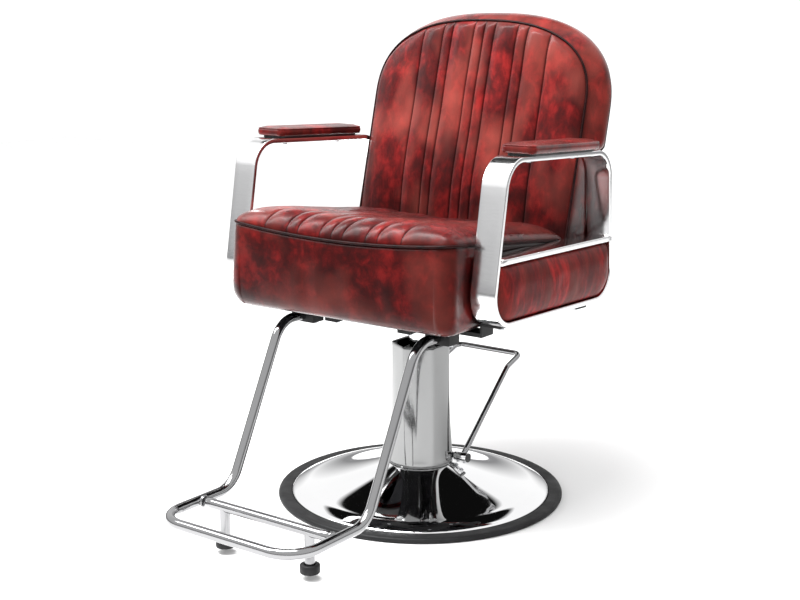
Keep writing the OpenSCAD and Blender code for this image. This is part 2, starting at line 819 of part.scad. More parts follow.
module arm_crossbar(side) {
    color(satin_colour) on_arm(side) slab_x(arm_outer - bar_w, arm_outer) loop_band(0, cross_top_z, cross_t);
}

module side_panel(side) {
    color(leather_colour) on_arm(side) slab_x(panel_inner, arm_outer + panel_proud)
        loop_band(panel_gap, cross_top_z - cross_t - panel_gap, 300);
}

// Draws a level outline as a plate lying lift above the arm's sloping top
module on_arm_top(side, lift, t) {
    on_arm(side) translate([arm_mid + pad_outset, pad_mid_y, arm_roof(pad_mid_y)])
        rotate([-atan(arm_top_drop), 0, 0]) translate([0, 0, lift]) linear_extrude(t) children();
}

module pad_base(side) {
    color(black_colour) difference() {
        on_arm_top(side, 0, pad_gap) rounded_box(pad_w / 2 - 7, -pad_l / 2 + 12, pad_l / 2 - 12, 10);
        pad_screw_places() cylinder(h = 60, r = pad_screw_r + drill_gap);
    }
}

module arm_pad(side) {
    color(leather_colour) on_arm_top(side, pad_gap, pad_t)
        rounded_box(pad_w / 2, -pad_l / 2, pad_l / 2, pad_corner_r);
}

module arm_bolts() {
    color(steel_colour) for (side = [-1, 1], y = [front_rail_y, rear_rail_y])
        translate([side * arm_mid_x(y), y, arm_floor(y) - bracket_plate_t - arm_bottom_drop * 7])
            bolt(m8_r, bar_t + bracket_plate_t - 1, 7, 5);
}

module pad_screws() {
    color(steel_colour) pad_screw_places() {
        cylinder(h = bar_t + pad_gap + 2, r = pad_screw_r);
        translate([0, 0, -1.5]) cylinder(h = 3.5, r = 4.5);
    }
}

// ---- footrest ----

// One bent tube: two legs with their level runs, and the front hoop
module footrest_frame() {
    half = [[foot_end_y, foot_top_z], [foot_leg_top_y, foot_top_z], [foot_leg_bottom_y, foot_z],
        [-foot_front, foot_z]];
    corners = concat([for (p = half) [-foot_half_w, p.x, p.y]],
        [for (i = [3:-1:0]) [foot_half_w, half[i].x, half[i].y]]);
    route = concat([corners[0]],
        [for (i = [1:6]) each round_corner(corners[i - 1], corners[i], corners[i + 1], foot_bend_r, 8)],
        [corners[7]]);
    color(satin_colour) tube(route, foot_r, foot_r - foot_tube_wall, foot_sides, [0, 0, 1]);
}

module saddle_bolt_places() {
    for (x = [-foot_half_w, foot_half_w], out = [-saddle_bolt_out, saddle_bolt_out])
        translate([x + out, front_rail_y, saddle_bottom]) children();
}

module footrest_crossbar() {
    color(satin_colour) difference() {
        rod([-foot_half_w, -foot_rear, foot_z], [foot_half_w, -foot_rear, foot_z], foot_r);
        rod([-foot_half_w - 20, -foot_rear, foot_z], [foot_half_w + 20, -foot_rear, foot_z],
            foot_r - foot_tube_wall);
        for (x = [-foot_half_w, foot_half_w])
            rod([x, -foot_front, foot_z], [x, foot_leg_bottom_y, foot_z], foot_r + 0.05);
    }
}

module post_places() {
    for (x = [-post_x, post_x]) translate([x, -foot_rear, 0]) children();
}

module footrest_posts() {
    color(satin_colour) difference() {
        post_places() translate([0, 0, post_bottom]) cylinder(h = foot_z - post_bottom, r = foot_r);
        rod([-foot_half_w, -foot_rear, foot_z], [foot_half_w, -foot_rear, foot_z], foot_r + 0.05);
    }
}

module footrest_feet() {
    color(black_colour) post_places() difference() {
        translate([0, 0, rubber_bottom]) cylinder(h = rubber_top - rubber_bottom, r = rubber_r);
        translate([0, 0, post_bottom]) cylinder(h = rubber_top, r = foot_r);
    }
}

// Blocks that clamp the footrest's upper runs up against the front rail
module footrest_saddles() {
    color(black_colour) difference() {
        for (x = [-foot_half_w, foot_half_w])
            translate([x - saddle_half_w, front_rail_y - saddle_l / 2, saddle_bottom])
                cube([2 * saddle_half_w, saddle_l, cross_rail_z - saddle_bottom]);
        for (x = [-foot_half_w, foot_half_w])
            rod([x, front_rail_y - saddle_l, foot_top_z], [x, front_rail_y + saddle_l, foot_top_z],
                foot_r + 0.05);
        saddle_bolt_places() translate([0, 0, -1]) cylinder(h = 60, r = m6_r + drill_gap);
    }
}

module footrest_bolts() {
    color(steel_colour) saddle_bolt_places()
        bolt(m6_r, cross_rail_z + cross_rail_h - saddle_bottom - 1, 5, 4);
}

base_ring();
base_plate();
base_dome();
base_bolts();
pump_body();
pump_gland();
ram_wiper();
column_shroud();
pump_plunger();
plunger_spring();
ram();
thrust_washer();
swivel_hub();
seat_plate();
plate_bolts();
long_rails();
cross_rails();
frame_bolts();
arm_brackets();
seat_board();
seat_cushion();
seat_piping();
back_cushion();
back_piping();
back_board();
back_cover();
back_brackets();
back_bolts();
arm_loop(1);  // arm_left
arm_loop(-1);  // arm_right
arm_crossbar(1);  // arm_crossbar_left
arm_crossbar(-1);  // arm_crossbar_right
arm_pad(1);  // arm_pad_left
arm_pad(-1);  // arm_pad_right
pad_base(1);  // pad_base_left
pad_base(-1);  // pad_base_right
side_panel(1);  // side_panel_left
side_panel(-1);  // side_panel_right
arm_bolts();
pad_screws();
footrest_frame();
footrest_crossbar();
footrest_posts();
footrest_feet();
footrest_saddles();
footrest_bolts();
lever_shaft();
lever_cam();
lever_bail();
lever_clamps();
lever_set_screws();
lever_end_caps();
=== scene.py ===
import json
import math

import bpy
import numpy as np
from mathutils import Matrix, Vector, noise


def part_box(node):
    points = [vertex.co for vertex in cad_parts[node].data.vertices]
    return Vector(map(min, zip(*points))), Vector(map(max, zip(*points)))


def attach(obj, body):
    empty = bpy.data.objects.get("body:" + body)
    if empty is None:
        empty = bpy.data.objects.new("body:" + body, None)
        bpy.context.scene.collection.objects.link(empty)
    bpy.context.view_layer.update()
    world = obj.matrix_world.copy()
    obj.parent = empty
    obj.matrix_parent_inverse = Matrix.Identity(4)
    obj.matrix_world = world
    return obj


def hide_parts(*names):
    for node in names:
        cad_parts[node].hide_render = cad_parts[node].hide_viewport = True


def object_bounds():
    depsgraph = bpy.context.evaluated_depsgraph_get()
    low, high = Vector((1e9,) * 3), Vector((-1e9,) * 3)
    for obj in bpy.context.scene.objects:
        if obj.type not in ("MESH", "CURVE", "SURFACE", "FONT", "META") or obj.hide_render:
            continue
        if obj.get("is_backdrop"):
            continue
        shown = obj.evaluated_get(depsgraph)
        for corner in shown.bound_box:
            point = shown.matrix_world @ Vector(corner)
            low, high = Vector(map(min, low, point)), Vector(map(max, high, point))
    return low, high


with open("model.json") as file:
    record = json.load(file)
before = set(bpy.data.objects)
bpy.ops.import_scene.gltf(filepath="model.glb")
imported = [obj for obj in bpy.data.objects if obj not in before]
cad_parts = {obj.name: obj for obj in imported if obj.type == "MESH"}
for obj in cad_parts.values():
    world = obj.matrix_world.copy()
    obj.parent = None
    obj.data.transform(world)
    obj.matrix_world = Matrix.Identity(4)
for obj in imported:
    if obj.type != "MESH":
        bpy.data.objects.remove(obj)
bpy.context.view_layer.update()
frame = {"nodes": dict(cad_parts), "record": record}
scene = bpy.context.scene

# ---- sizes shared by several pieces, in metres and degrees, read from the frame where it states them ----

seat_low, seat_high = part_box("seat_cushion")
SEAT_W, SEAT_FRONT = seat_high[0], -seat_low[1]
SEAT_BOTTOM, BOARD_BOTTOM = seat_low[2] - 0.0045, seat_low[2] - 0.0085
SEAT_CORNER = 0.030
SEAT_REAR_Z = 0.572
CORD_REAR_Y = 0.100
SEAT_CORD_R, BACK_CORD_R = 0.0027, 0.0025
BACK_LEAN = math.radians(14.1)
BACK_Y, BACK_Z = 0.118, 0.560
BACK_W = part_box("back_cushion")[1][0]
BACK_SIDE, BACK_ARCH, BACK_TAIL, BACK_POWER = 0.267, 0.166, 0.108, 2.55
SEAT_SEAMS = [s - 0.008 for s in (-0.164, -0.109, -0.082, -0.0275, 0.0, 0.0275, 0.082, 0.109, 0.164)]
BACK_SEAMS = [s + 0.012 for s in (-0.156, -0.104, -0.080, -0.0255, 0.0, 0.0255, 0.080, 0.104, 0.156)]
BAR_W, BAR_T = 0.053, 0.010
ARM_OUTER, ARM_CORNER_R, ARM_TOE = 0.322, 0.062, math.radians(0.95)
ARM_MID = ARM_OUTER - BAR_W / 2
RAIL_Z, RAIL_T, RAIL_SLOPE = 0.558, 0.011, 0.032
PANEL_GAP = 0.0015


def smooth(low, high, x):
    t = np.clip((np.asarray(x, float) - low) / (high - low), 0, 1)
    return t * t * (3 - 2 * t)


def unit(v):
    v = np.asarray(v, float)
    return v / np.linalg.norm(v, axis=-1, keepdims=True)


# ---- meshes ----

def add_mesh(name, points, faces, material, body, nodes=(), flat=()):
    """A smooth mesh piece that rides on a body and stands for CAD nodes. flat lists faces of a second material."""
    mesh = bpy.data.meshes.new(name)
    mesh.from_pydata([tuple(map(float, p)) for p in points], [], [tuple(map(int, f)) for f in faces])
    mesh.update()
    mesh.shade_smooth()
    obj = bpy.data.objects.new(name, mesh)
    scene.collection.objects.link(obj)
    for m in material if isinstance(material, list) else [material]:
        mesh.materials.append(m)
    for f in flat:
        mesh.polygons[f].material_index = 1
    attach(obj, body)
    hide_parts(*nodes)
    return obj


def join(parts):
    """One list of points and faces from several."""
    points, faces = [], []
    for p, f in parts:
        faces += [tuple(i + len(points) for i in face) for face in f]
        points += [tuple(v) for v in p]
    return points, faces


def bands(rings, closed_ring=True, closed_along=False):
    """Faces between rings of equal length, numbered one after another."""
    n, count = len(rings[0]), len(rings)
    faces = []
    for a in range(count if closed_along else count - 1):
        b = (a + 1) % count
        for k in range(n if closed_ring else n - 1):
            m = (k + 1) % n
            faces.append((a * n + k, a * n + m, b * n + m, b * n + k))
    return faces


def lathe(profile, segments=192, closed=True):
    """A closed outline of (radius, height) turned about Z."""
    rings = []
    for i in range(segments):
        a = 2 * math.pi * i / segments
        rings.append([(r * math.cos(a), r * math.sin(a), z) for r, z in profile])
    points = [p for ring in rings for p in ring]
    return points, bands(rings, closed, True)


def round_corners(corners, radius, steps=14, closed=False):
    """A line through corners, each turned to a radius."""
    c = [np.asarray(p, float) for p in corners]
    last = len(c) - 1
    out = []
    for i, b in enumerate(c):
        if not closed and i in (0, last):
            out.append(b)
            continue
        a, d = c[i - 1], c[(i + 1) % len(c)]
        u, v = unit(a - b), unit(d - b)
        half = math.acos(np.clip(u @ v, -1, 1)) / 2
        r = radius[i] if isinstance(radius, (list, tuple)) else radius
        centre = b + unit(u + v) * r / math.sin(half)
        reach = r / math.tan(half)
        p, q = b + u * reach - centre, b + v * reach - centre
        whole = math.pi - 2 * half
        for k in range(steps + 1):
            t = k / steps
            out.append(centre + (math.sin((1 - t) * whole) * p + math.sin(t * whole) * q) / math.sin(whole))
    return np.array(out)


def space(route, gap):
    """The same route with extra points, so that no stretch is longer than gap."""
    out = [route[0]]
    for a, b in zip(route[:-1], route[1:]):
        n = max(1, math.ceil(np.linalg.norm(b - a) / gap))
        out += [a + (b - a) * k / n for k in range(1, n + 1)]
    return np.array(out)


def sweep(route, section, up, closed=False, caps=True):
    """A section of (side, up) offsets carried along a route; up is a vector or one per point."""
    route = np.asarray(route, float)
    ahead = np.roll(route, -1, axis=0)
    behind = np.roll(route, 1, axis=0)
    if not closed:
        ahead[-1], behind[0] = route[-1], route[0]
    along = unit(ahead - behind)
    side = unit(np.cross(along, np.broadcast_to(np.asarray(up, float), along.shape)))
    upward = np.cross(side, along)
    rings = [[p + s * a + u * b for a, b in section] for p, s, u in zip(route, side, upward)]
    points = [p for ring in rings for p in ring]
    faces = bands(rings, True, closed)
    if caps and not closed:
        n = len(section)
        faces += [tuple(range(n))[::-1], tuple(range(len(points) - n, len(points)))]
    return points, faces


def turned_about_x(outline, y, z, steps):
    """A closed outline of (x, radius) turned about a line along X."""
    rings = [[(x, y + r * math.cos(a), z + r * math.sin(a)) for x, r in outline]
             for a in np.linspace(0, 2 * math.pi, steps, endpoint=False)]
    return [p for ring in rings for p in ring], bands(rings, True, True)


def thinned(route, gap=0.004):
    """The same route without points that lie within gap of the one before."""
    kept = [route[0]]
    for q in route[1:]:
        if np.linalg.norm(q - kept[-1]) > gap:
            kept.append(q)
    return np.array(kept)


def circle(r, sides):
    return [(r * math.cos(2 * math.pi * k / sides), r * math.sin(2 * math.pi * k / sides)) for k in range(sides)]


def rounded_rect(half_a, half_b, r, steps=5, middle=1):
    """A rectangle with round corners, and middle extra points along each long side."""
    out = []
    for cx, cy, start in ((1, 1, 0), (-1, 1, 90), (-1, -1, 180), (1, -1, 270)):
        for k in range(steps + 1):
            a = math.radians(start + 90 * k / steps)
            out.append((cx * (half_a - r) + r * math.cos(a), cy * (half_b - r) + r * math.sin(a)))
        if cy * cx > 0:
            for k in range(1, middle + 1):
                t = k / (middle + 1)
                out.append((cx * (half_a - r) * (1 - 2 * t), cy * half_b))
    return out


def outline_normals(line):
    """Outward normals of a closed counter-clockwise 2D outline."""
    along = unit(np.roll(line, -1, axis=0) - np.roll(line, 1, axis=0))
    return np.stack([along[:, 1], -along[:, 0]], axis=1)


def edge_distance(points, line):
    """Distance from 2D points to a closed 2D outline."""
    a, b = line, np.roll(line, -1, axis=0)
    d = b - a
    best = np.full(len(points), 9.0)
    for p, q in zip(a, d):
        t = np.clip(((points - p) @ q) / max(q @ q, 1e-12), 0, 1)
        best = np.minimum(best, np.linalg.norm(points - p - t[:, None] * q, axis=1))
    return best


def pillow(outline, wall, crown, reach, place, power=2.4, ease=0.7, rings=14, ripple=0.0):
    """A padded slab: wall lists (inset, height) up the sides, then a crowned top; place makes it 3D."""
    outline = np.asarray(outline, float)
    normal = outline_normals(outline)
    centre = outline.mean(axis=0)
    layers = [place(outline - normal * inset, np.full(len(outline), h)) for inset, h in wall]
    top_inset, top_h = wall[-1]
    edge = outline - normal * top_inset
    for k in range(1, rings + 1):
        f = (1 - k / (rings + 1)) ** 1.3 if k < rings else 0.04
        ring = centre + (edge - centre) * f
        d = edge_distance(ring, edge)
        t = 1 - (1 - np.minimum(d / reach, 1)) ** power
        h = top_h + crown * t ** ease
        if ripple:
            h = h + ripple * np.array([noise.noise(Vector((p[0] * 38, p[1] * 38, 3.7))) for p in ring]) * t
        layers.append(place(ring, h))
    points = [p for layer in layers for p in layer]
    faces = bands(layers)
    n = len(outline)
    points.append(layers[-1].mean(axis=0))
    last = (len(layers) - 1) * n
    faces += [(last + k, last + (k + 1) % n, len(points) - 1) for k in range(n)]
    points.append(layers[0].mean(axis=0))
    faces += [((k + 1) % n, k, len(points) - 1) for k in range(n)]
    return points, faces


# ---- materials ----

class Look:
    """A material made of procedural nodes."""

    def __init__(self, name, **values):
        self.material = bpy.data.materials.new(name)
        self.material.use_nodes = True
        self.tree = self.material.node_tree
        self.shader = self.tree.nodes["Principled BSDF"]
        for key, value in values.items():
            self.shader.inputs[key.replace("_", " ")].default_value = value
        self.where = self.tree.nodes.new("ShaderNodeTexCoord").outputs["Object"]

    def node(self, kind, inputs=(), **settings):
        n = self.tree.nodes.new(kind)
        for key, value in settings.items():
            setattr(n, key, value)
        for key, value in dict(inputs).items():
            if isinstance(value, bpy.types.NodeSocket):
                self.tree.links.new(value, n.inputs[key])
            else:
                n.inputs[key].default_value = value
        return n

    def stretched(self, scale, turn=(0, 0, 0)):
        return self.node("ShaderNodeMapping", {"Vector": self.where, "Scale": scale, "Rotation": turn}).outputs[0]

    def noise(self, scale, detail=3.0, rough=0.5, distortion=0.0, vector=None):
        return self.node("ShaderNodeTexNoise", {"Vector": vector or self.where, "Scale": scale, "Detail": detail,
                                                "Roughness": rough, "Distortion": distortion}).outputs["Fac"]

    def cells(self, scale, feature="F1", vector=None):
        n = self.node("ShaderNodeTexVoronoi", {"Vector": vector or self.where, "Scale": scale}, feature=feature)
        return n.outputs["Distance"]

    def math(self, operation, a, b=0.0, clamp=False):
        return self.node("ShaderNodeMath", {0: a, 1: b}, operation=operation, use_clamp=clamp).outputs[0]

    def fit(self, value, low, high, to_low=0.0, to_high=1.0):
        return self.node("ShaderNodeMapRange", {"Value": value, "From Min": low, "From Max": high,
                                                "To Min": to_low, "To Max": to_high}).outputs[0]

    def ramp(self, value, stops):
        n = self.node("ShaderNodeValToRGB", {"Fac": value})
        n.color_ramp.interpolation = "B_SPLINE" if len(stops) > 2 else "LINEAR"
        elements = n.color_ramp.elements
        while len(elements) < len(stops):
            elements.new(0.5)
        for e, (place, colour) in zip(elements, stops):
            e.position = place
            e.color = (*colour, 1)
        return n.outputs[0]

    def mix(self, factor, a, b, blend="MIX"):
        n = self.node("ShaderNodeMix", {"Factor": factor}, data_type="RGBA", blend_type=blend)
        for key, value in ((6, a), (7, b)):
            if isinstance(value, bpy.types.NodeSocket):
                self.tree.links.new(value, n.inputs[key])
            else:
                n.inputs[key].default_value = (*value, 1)
        return n.outputs[2]

    def bump(self, height, strength, distance, under=None):
        inputs = {"Height": height, "Strength": strength, "Distance": distance}
        if under:
            inputs["Normal"] = under
        return self.node("ShaderNodeBump", inputs).outputs[0]

    def put(self, **links):
        for key, value in links.items():
            self.tree.links.new(value, self.shader.inputs[key.replace("_", " ")])
        return self.material


def vinyl(name, stretch=(1, 1, 1), warmth=0.0, shift=0.0, shade=1.0, shine=1.0, lift=None):
    """Oxblood vinyl with the dark and bright clouds of an antique finish and a fine grain, darkened by painted shade
    along its seams.
    """
    look = Look(name, Coat_Roughness=0.27, Specular_IOR_Level=0.03)
    where = look.node("ShaderNodeMapping", {"Vector": look.where, "Scale": stretch,
                                            "Location": (shift, shift * 0.7, shift * 1.3)}).outputs[0]
    clouds = look.noise(15.0, 3.0, 0.55, 0.6, where)
    blots = look.noise(42.0, 4.0, 0.6, 0.4, where)
    specks = look.noise(170.0, 3.0, 0.6, 0.0, where)
    tone = look.math("ADD", look.math("MULTIPLY", clouds, 0.50), look.math("MULTIPLY", blots, 0.42))
    tone = look.math("ADD", tone, look.math("MULTIPLY", specks, 0.08))
    colour = look.ramp(tone, [(place, tuple(shade * c for c in tint)) for place, tint in (
        (0.36, (0.034, 0.007, 0.007)), (0.45, (0.058, 0.007, 0.007)), (0.51, (0.090, 0.008, 0.008)),
        (0.57, (0.150, 0.010, 0.010)), (0.67, (0.270, 0.016, 0.015)))])
    tan = look.fit(look.noise(9.0, 2.0, 0.5, 0.0, where), 0.45, 0.75, 0.0, 0.55 + warmth)
    colour = look.mix(tan, colour, (0.13, 0.026, 0.020))
    # Painted light and shade: the colour is scaled with height, from 1 at lift[0] to lift[2] at lift[1].
    if lift:
        height = look.node("ShaderNodeSeparateXYZ", {"Vector": look.where}).outputs["Z"]
        height_light_gain = look.fit(height, lift[0], lift[1], 1.0, lift[2])
        colour = look.node("ShaderNodeVectorMath", {0: colour, "Scale": height_light_gain}, operation="SCALE").outputs[0]
    # painted shade: the seam attribute darkens the colour to near black in seam creases, under the piping and on
    # shaded boxing
    seam = look.node("ShaderNodeAttribute", attribute_name="seam").outputs["Fac"]
    colour = look.mix(seam, colour, (0.005, 0.001, 0.001))
    grain = look.cells(780.0, "SMOOTH_F1")
    creases = look.noise(260.0, 4.0, 0.65)
    height = look.math("ADD", look.math("MULTIPLY", grain, 0.6), look.math("MULTIPLY", creases, 0.7))
    dimples = look.bump(look.noise(48.0, 3.0, 0.5), 0.10, 0.004)
    rough = look.fit(look.noise(60.0, 3.0, 0.6), 0.3, 0.7, 0.36, 0.50)
    facing = look.node("ShaderNodeLayerWeight", {"Blend": 0.5}).outputs["Facing"]
    gloss = look.fit(facing, 0.22, 0.62, 0.02 * shine, shine)
    return look.put(Base_Color=colour, Roughness=rough, Coat_Weight=gloss,
                    Normal=look.bump(height, 0.22, 0.0007, dimples))


def cord_vinyl():
    look = Look("piping_vinyl", Coat_Weight=0.03, Coat_Roughness=0.2, Specular_IOR_Level=0.06)
    colour = look.ramp(look.noise(60.0, 3.0), [(0.35, (0.006, 0.002, 0.002)), (0.65, (0.020, 0.004, 0.004))])
    rough = look.fit(look.noise(200.0, 3.0), 0.3, 0.7, 0.28, 0.42)
    return look.put(Base_Color=colour, Roughness=rough, Normal=look.bump(look.noise(900.0, 2.0), 0.15, 0.0004))


def metal(name, colour, low, high, scale=(1, 1, 1), fine=60.0, bump=0.02, tint=0.06, **values):
    """Bare or plated metal: its roughness wanders between low and high along its grain."""
    look = Look(name, Metallic=1.0, **values)
    where = look.stretched(scale)
    haze = look.noise(fine, 4.0, 0.6, 0.2, where)
    shade = tuple(c * (1 - tint) for c in colour)
    base = look.mix(look.fit(look.noise(7.0, 3.0), 0.35, 0.7), colour, shade)
    waves = look.bump(look.noise(fine * 0.5, 2.0, 0.5, 0.0, where), bump, 0.001)
    return look.put(Base_Color=base, Roughness=look.fit(haze, 0.3, 0.7, low, high), Normal=waves)


def coated(name, dark, light, low, high, scale, bump, distance=0.0006, **values):
    """A paint, plastic or rubber with a fine stipple."""
    look = Look(name, **values)
    stain = look.noise(16.0, 4.0, 0.6)
    fine = look.noise(scale, 3.0, 0.6)
    colour = look.ramp(look.math("ADD", look.math("MULTIPLY", stain, 0.7), look.math("MULTIPLY", fine, 0.3)),
                       [(0.35, dark), (0.65, light)])
    rough = look.fit(look.noise(30.0, 3.0), 0.3, 0.7, low, high)
    return look.put(Base_Color=colour, Roughness=rough, Normal=look.bump(fine, bump, distance))


def plywood():
    look = Look("plywood")
    grain = look.noise(26.0, 6.0, 0.6, 1.2, look.stretched((1, 9, 60)))
    colour = look.ramp(grain, [(0.3, (0.30, 0.17, 0.08)), (0.55, (0.46, 0.30, 0.16)), (0.75, (0.56, 0.39, 0.22))])
    return look.put(Base_Color=colour, Roughness=look.fit(grain, 0.3, 0.7, 0.5, 0.7),
                    Normal=look.bump(grain, 0.2, 0.0005))


# Lit and shaded copies of one vinyl: shade darkens the seat to 0.5 and the back to 0.4 and brightens the side panels
# to 1.35 as painted shade and light; lift paints light on the seat's top and shade low on the back.
VINYL_SEAT = vinyl("vinyl_seat", (1, 1, 1), 0.0, 0.0, 0.50, 1.0, (0.590, 0.62, 2.2))
VINYL_BACK = vinyl("vinyl_back", (1.15, 1, 0.75), 0.1, 3.1, 0.40, 1.0, (0.56, 0.74, 2.0))
VINYL_SIDE = vinyl("vinyl_side", (1, 1.5, 0.55), 0.4, 7.7, 1.35, 0.18)
VINYL_ARM = vinyl("vinyl_arm", (1, 1, 1), 0.15, 5.2)
PIPING = cord_vinyl()
CHROME = metal("polished_chrome", (0.80, 0.80, 0.805), 0.02, 0.05, bump=0.012, tint=0.04)
# A darker copy of the chrome for the column: painted shade for its dimmer reflections.
COLUMN = metal("column_chrome", (0.22, 0.222, 0.222), 0.05, 0.12, bump=0.012, tint=0.06)
SATIN = metal("satin_chrome", (0.84, 0.84, 0.845), 0.10, 0.20, scale=(1, 6, 6), fine=90.0, bump=0.03)
# A darker copy of the chrome for tubes, lever and footrest: painted shade for their dimmer reflections.
TUBE = metal("tube_chrome", (0.30, 0.30, 0.305), 0.06, 0.14, scale=(4, 1, 1), fine=70.0, bump=0.03)
STEEL = metal("plated_steel", (0.55, 0.56, 0.58), 0.25, 0.4, fine=120.0, bump=0.05)
BLACK = coated("black_paint", (0.006, 0.006, 0.006), (0.014, 0.014, 0.015), 0.35, 0.5, 500.0, 0.10,
               Specular_IOR_Level=0.2)
RUBBER = coated("black_rubber", (0.007, 0.007, 0.0075), (0.018, 0.018, 0.019), 0.42, 0.6, 700.0, 0.18,
                Specular_IOR_Level=0.2)
PLASTIC = coated("black_plastic", (0.010, 0.010, 0.010), (0.024, 0.024, 0.024), 0.35, 0.5, 900.0, 0.12)
CLOTH = coated("dust_cloth", (0.010, 0.010, 0.011), (0.022, 0.022, 0.024), 0.8, 0.95, 1400.0, 0.5,
               Specular_IOR_Level=0.05)
PLY = plywood()

SLOT_LOOKS = {"rubber": RUBBER, "ballast": BLACK, "polished_chrome": CHROME, "satin_chrome": TUBE, "steel": STEEL,
              "black_metal": BLACK, "vinyl": VINYL_SEAT, "piping": PIPING, "plywood": PLY, "plastic": PLASTIC}
for part in frame["record"]["subparts"]:
    node = frame["nodes"][part["node"]]
    node.data.materials.clear()
    node.data.materials.append(SLOT_LOOKS[part["material_slot"]])


# Stores per-point painted shade (seam creases, grooves under piping, shaded boxing) in the seam attribute that the
# vinyl darkens by.
def mark_seam_shade(obj, values):
    layer = obj.data.attributes.new("seam", "FLOAT", "POINT")
    layer.data.foreach_set("value", np.asarray(values, np.float32))


# ---- base ----

RIM_R, RIM_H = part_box("base_ring")[1][0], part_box("base_ring")[1][2]
NECK_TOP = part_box("base_dome")[1][2]
ring_profile = [(0.250, 0.0), (RIM_R - 0.004, 0.0), (RIM_R - 0.0015, 0.0012), (RIM_R, 0.0040), (RIM_R, 0.0065),
                (RIM_R - 0.0010, 0.0090), (RIM_R - 0.0035, RIM_H - 0.0005), (RIM_R - 0.006, RIM_H),
                (RIM_R - 0.012, RIM_H), (RIM_R - 0.018, RIM_H - 0.0002), (RIM_R - 0.0245, RIM_H),
                (RIM_R - 0.0268, RIM_H - 0.0004), (RIM_R - 0.0278, RIM_H - 0.0016), (RIM_R - 0.028, 0.009),
                (0.262, 0.009), (0.262, 0.003), (0.250, 0.003)]
points, faces = lathe(ring_profile, 256)
add_mesh("base_rim", points, faces, RUBBER, "base", ["base_ring"])


def dome_height(r):
    shoulder, neck, low = 0.238, 0.066, 0.0235
    return low + (NECK_TOP - low) * ((shoulder - r) / (shoulder - neck)) ** 1.3


outer = [(0.2712, 0.0112), (0.2700, 0.0128), (0.2670, 0.0144), (0.262, 0.0165), (0.256, 0.0187), (0.250, 0.0208),
         (0.244, 0.0224), (0.2395, 0.02325)]
outer += [(r, dome_height(r)) for r in np.linspace(0.2375, 0.0665, 46)]
outer += [(0.0655, NECK_TOP - 0.0004), (0.064, NECK_TOP), (0.056, NECK_TOP)]
inner = [(r, max(z - 0.002, 0.0090)) for r, z in reversed(outer)]
points, faces = lathe(outer + inner, 256)
add_mesh("base_cover", points, faces, CHROME, "base", ["base_dome"])

# ---- column ----

SHROUD_TOP, SHROUD_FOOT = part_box("column_shroud")[1][2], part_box("column_shroud")[0][2]


def shroud_ring(z, inset, sides=288):
    """Six soft facets at the rim that fade into a round foot."""
    t = (z - SHROUD_FOOT) / (SHROUD_TOP - SHROUD_FOOT)
    round_r = 0.0690 - 0.0118 * t
    out = []
    for k in range(sides):
        a = 2 * math.pi * k / sides
        folds = sum(max(0.0, math.cos(a - math.pi * m / 3)) ** 26 for m in range(6)) ** (1 / 26)
        six = (0.0537 - inset) / folds
        facet = min(1.0, max(0.0, (t - 0.02) / 0.98)) ** 0.8
        r = (round_r + 0.0005 - inset) * (1 - facet) + six * facet
        out.append((r * math.cos(a), r * math.sin(a), z))
    return out


wall_z = list(np.linspace(SHROUD_FOOT, SHROUD_TOP - 0.0006, 44))
rings = [shroud_ring(z, 0.0) for z in wall_z]
rings += [shroud_ring(SHROUD_TOP - 0.0002, 0.0002), shroud_ring(SHROUD_TOP, 0.0006),
          shroud_ring(SHROUD_TOP - 0.0002, 0.0012)]
rings += [shroud_ring(z, 0.0015) for z in reversed(wall_z)]
points = [p for r in rings for p in r]
LEVER_Y, LEVER_Z = 0.0365, 0.0821


def in_shaft_slot(face):
    x, y, z = np.mean([points[j] for j in face], axis=0)
    return abs(abs(x) - 0.06) < 0.02 and abs(y - LEVER_Y) < 0.008 and z < 0.104


faces = [f for f in bands(rings, True, True) if not in_shaft_slot(f)]
add_mesh("column_cover", points, faces, COLUMN, "base", ["column_shroud"])

# ---- pump lever ----

LEVER_W, LEVER_LEG, LEVER_END = 0.0825, 0.236, 0.056
LEG_RISE, END_RISE = math.radians(42.2), math.radians(18.2)
lever_up = np.array([0, -math.sin(LEG_RISE), math.cos(LEG_RISE)])
leg_run = np.array([0, math.cos(LEG_RISE), math.sin(LEG_RISE)])
pivot = np.array([0, LEVER_Y, LEVER_Z])
kink = pivot + leg_run * LEVER_LEG
foot_bar = kink + np.array([0, math.cos(END_RISE), math.sin(END_RISE)]) * LEVER_END
half = [pivot + leg_run * 0.0063, kink, foot_bar]
corners = [p + [LEVER_W, 0, 0] for p in half] + [p - [LEVER_W, 0, 0] for p in reversed(half)]
rounded_rod = round_corners(corners, [0, 0.024, 0.015, 0.015, 0.024, 0], 14)
points, faces = sweep(space(rounded_rod, 0.02), circle(0.006, 32), lever_up)
add_mesh("lever_rod", points, faces, TUBE, "lever", ["lever_bail"])

clamp_parts = []
clamp_line = [(0.0650, 0.0084), (0.0654, 0.0091), (0.0662, 0.0095), (0.0948, 0.0095), (0.0956, 0.0091),
              (0.0960, 0.0084), (0.0960, 0.0062), (0.0650, 0.0062)]
for side in (-1, 1):
    clamp_parts.append(turned_about_x([(side * x, r) for x, r in clamp_line], LEVER_Y, LEVER_Z, 48))
points, faces = join(clamp_parts)
add_mesh("lever_collars", points, faces, CHROME, "lever", ["lever_clamps"])

# ---- footrest ----

FOOT_W, FOOT_R, FOOT_Z, FOOT_TOP = 0.1665, 0.010, 0.0899, 0.395
half = [(-0.140, FOOT_TOP), (-0.2485, FOOT_TOP), (-0.403, FOOT_Z), (-0.605, FOOT_Z)]
corners = [(-FOOT_W, y, z) for y, z in half] + [(FOOT_W, y, z) for y, z in reversed(half)]
points, faces = sweep(space(round_corners(corners, 0.060, 18), 0.03), circle(FOOT_R, 32), (0, 0, 1))
add_mesh("footrest_tube", points, faces, TUBE, "seat", ["footrest_frame"])

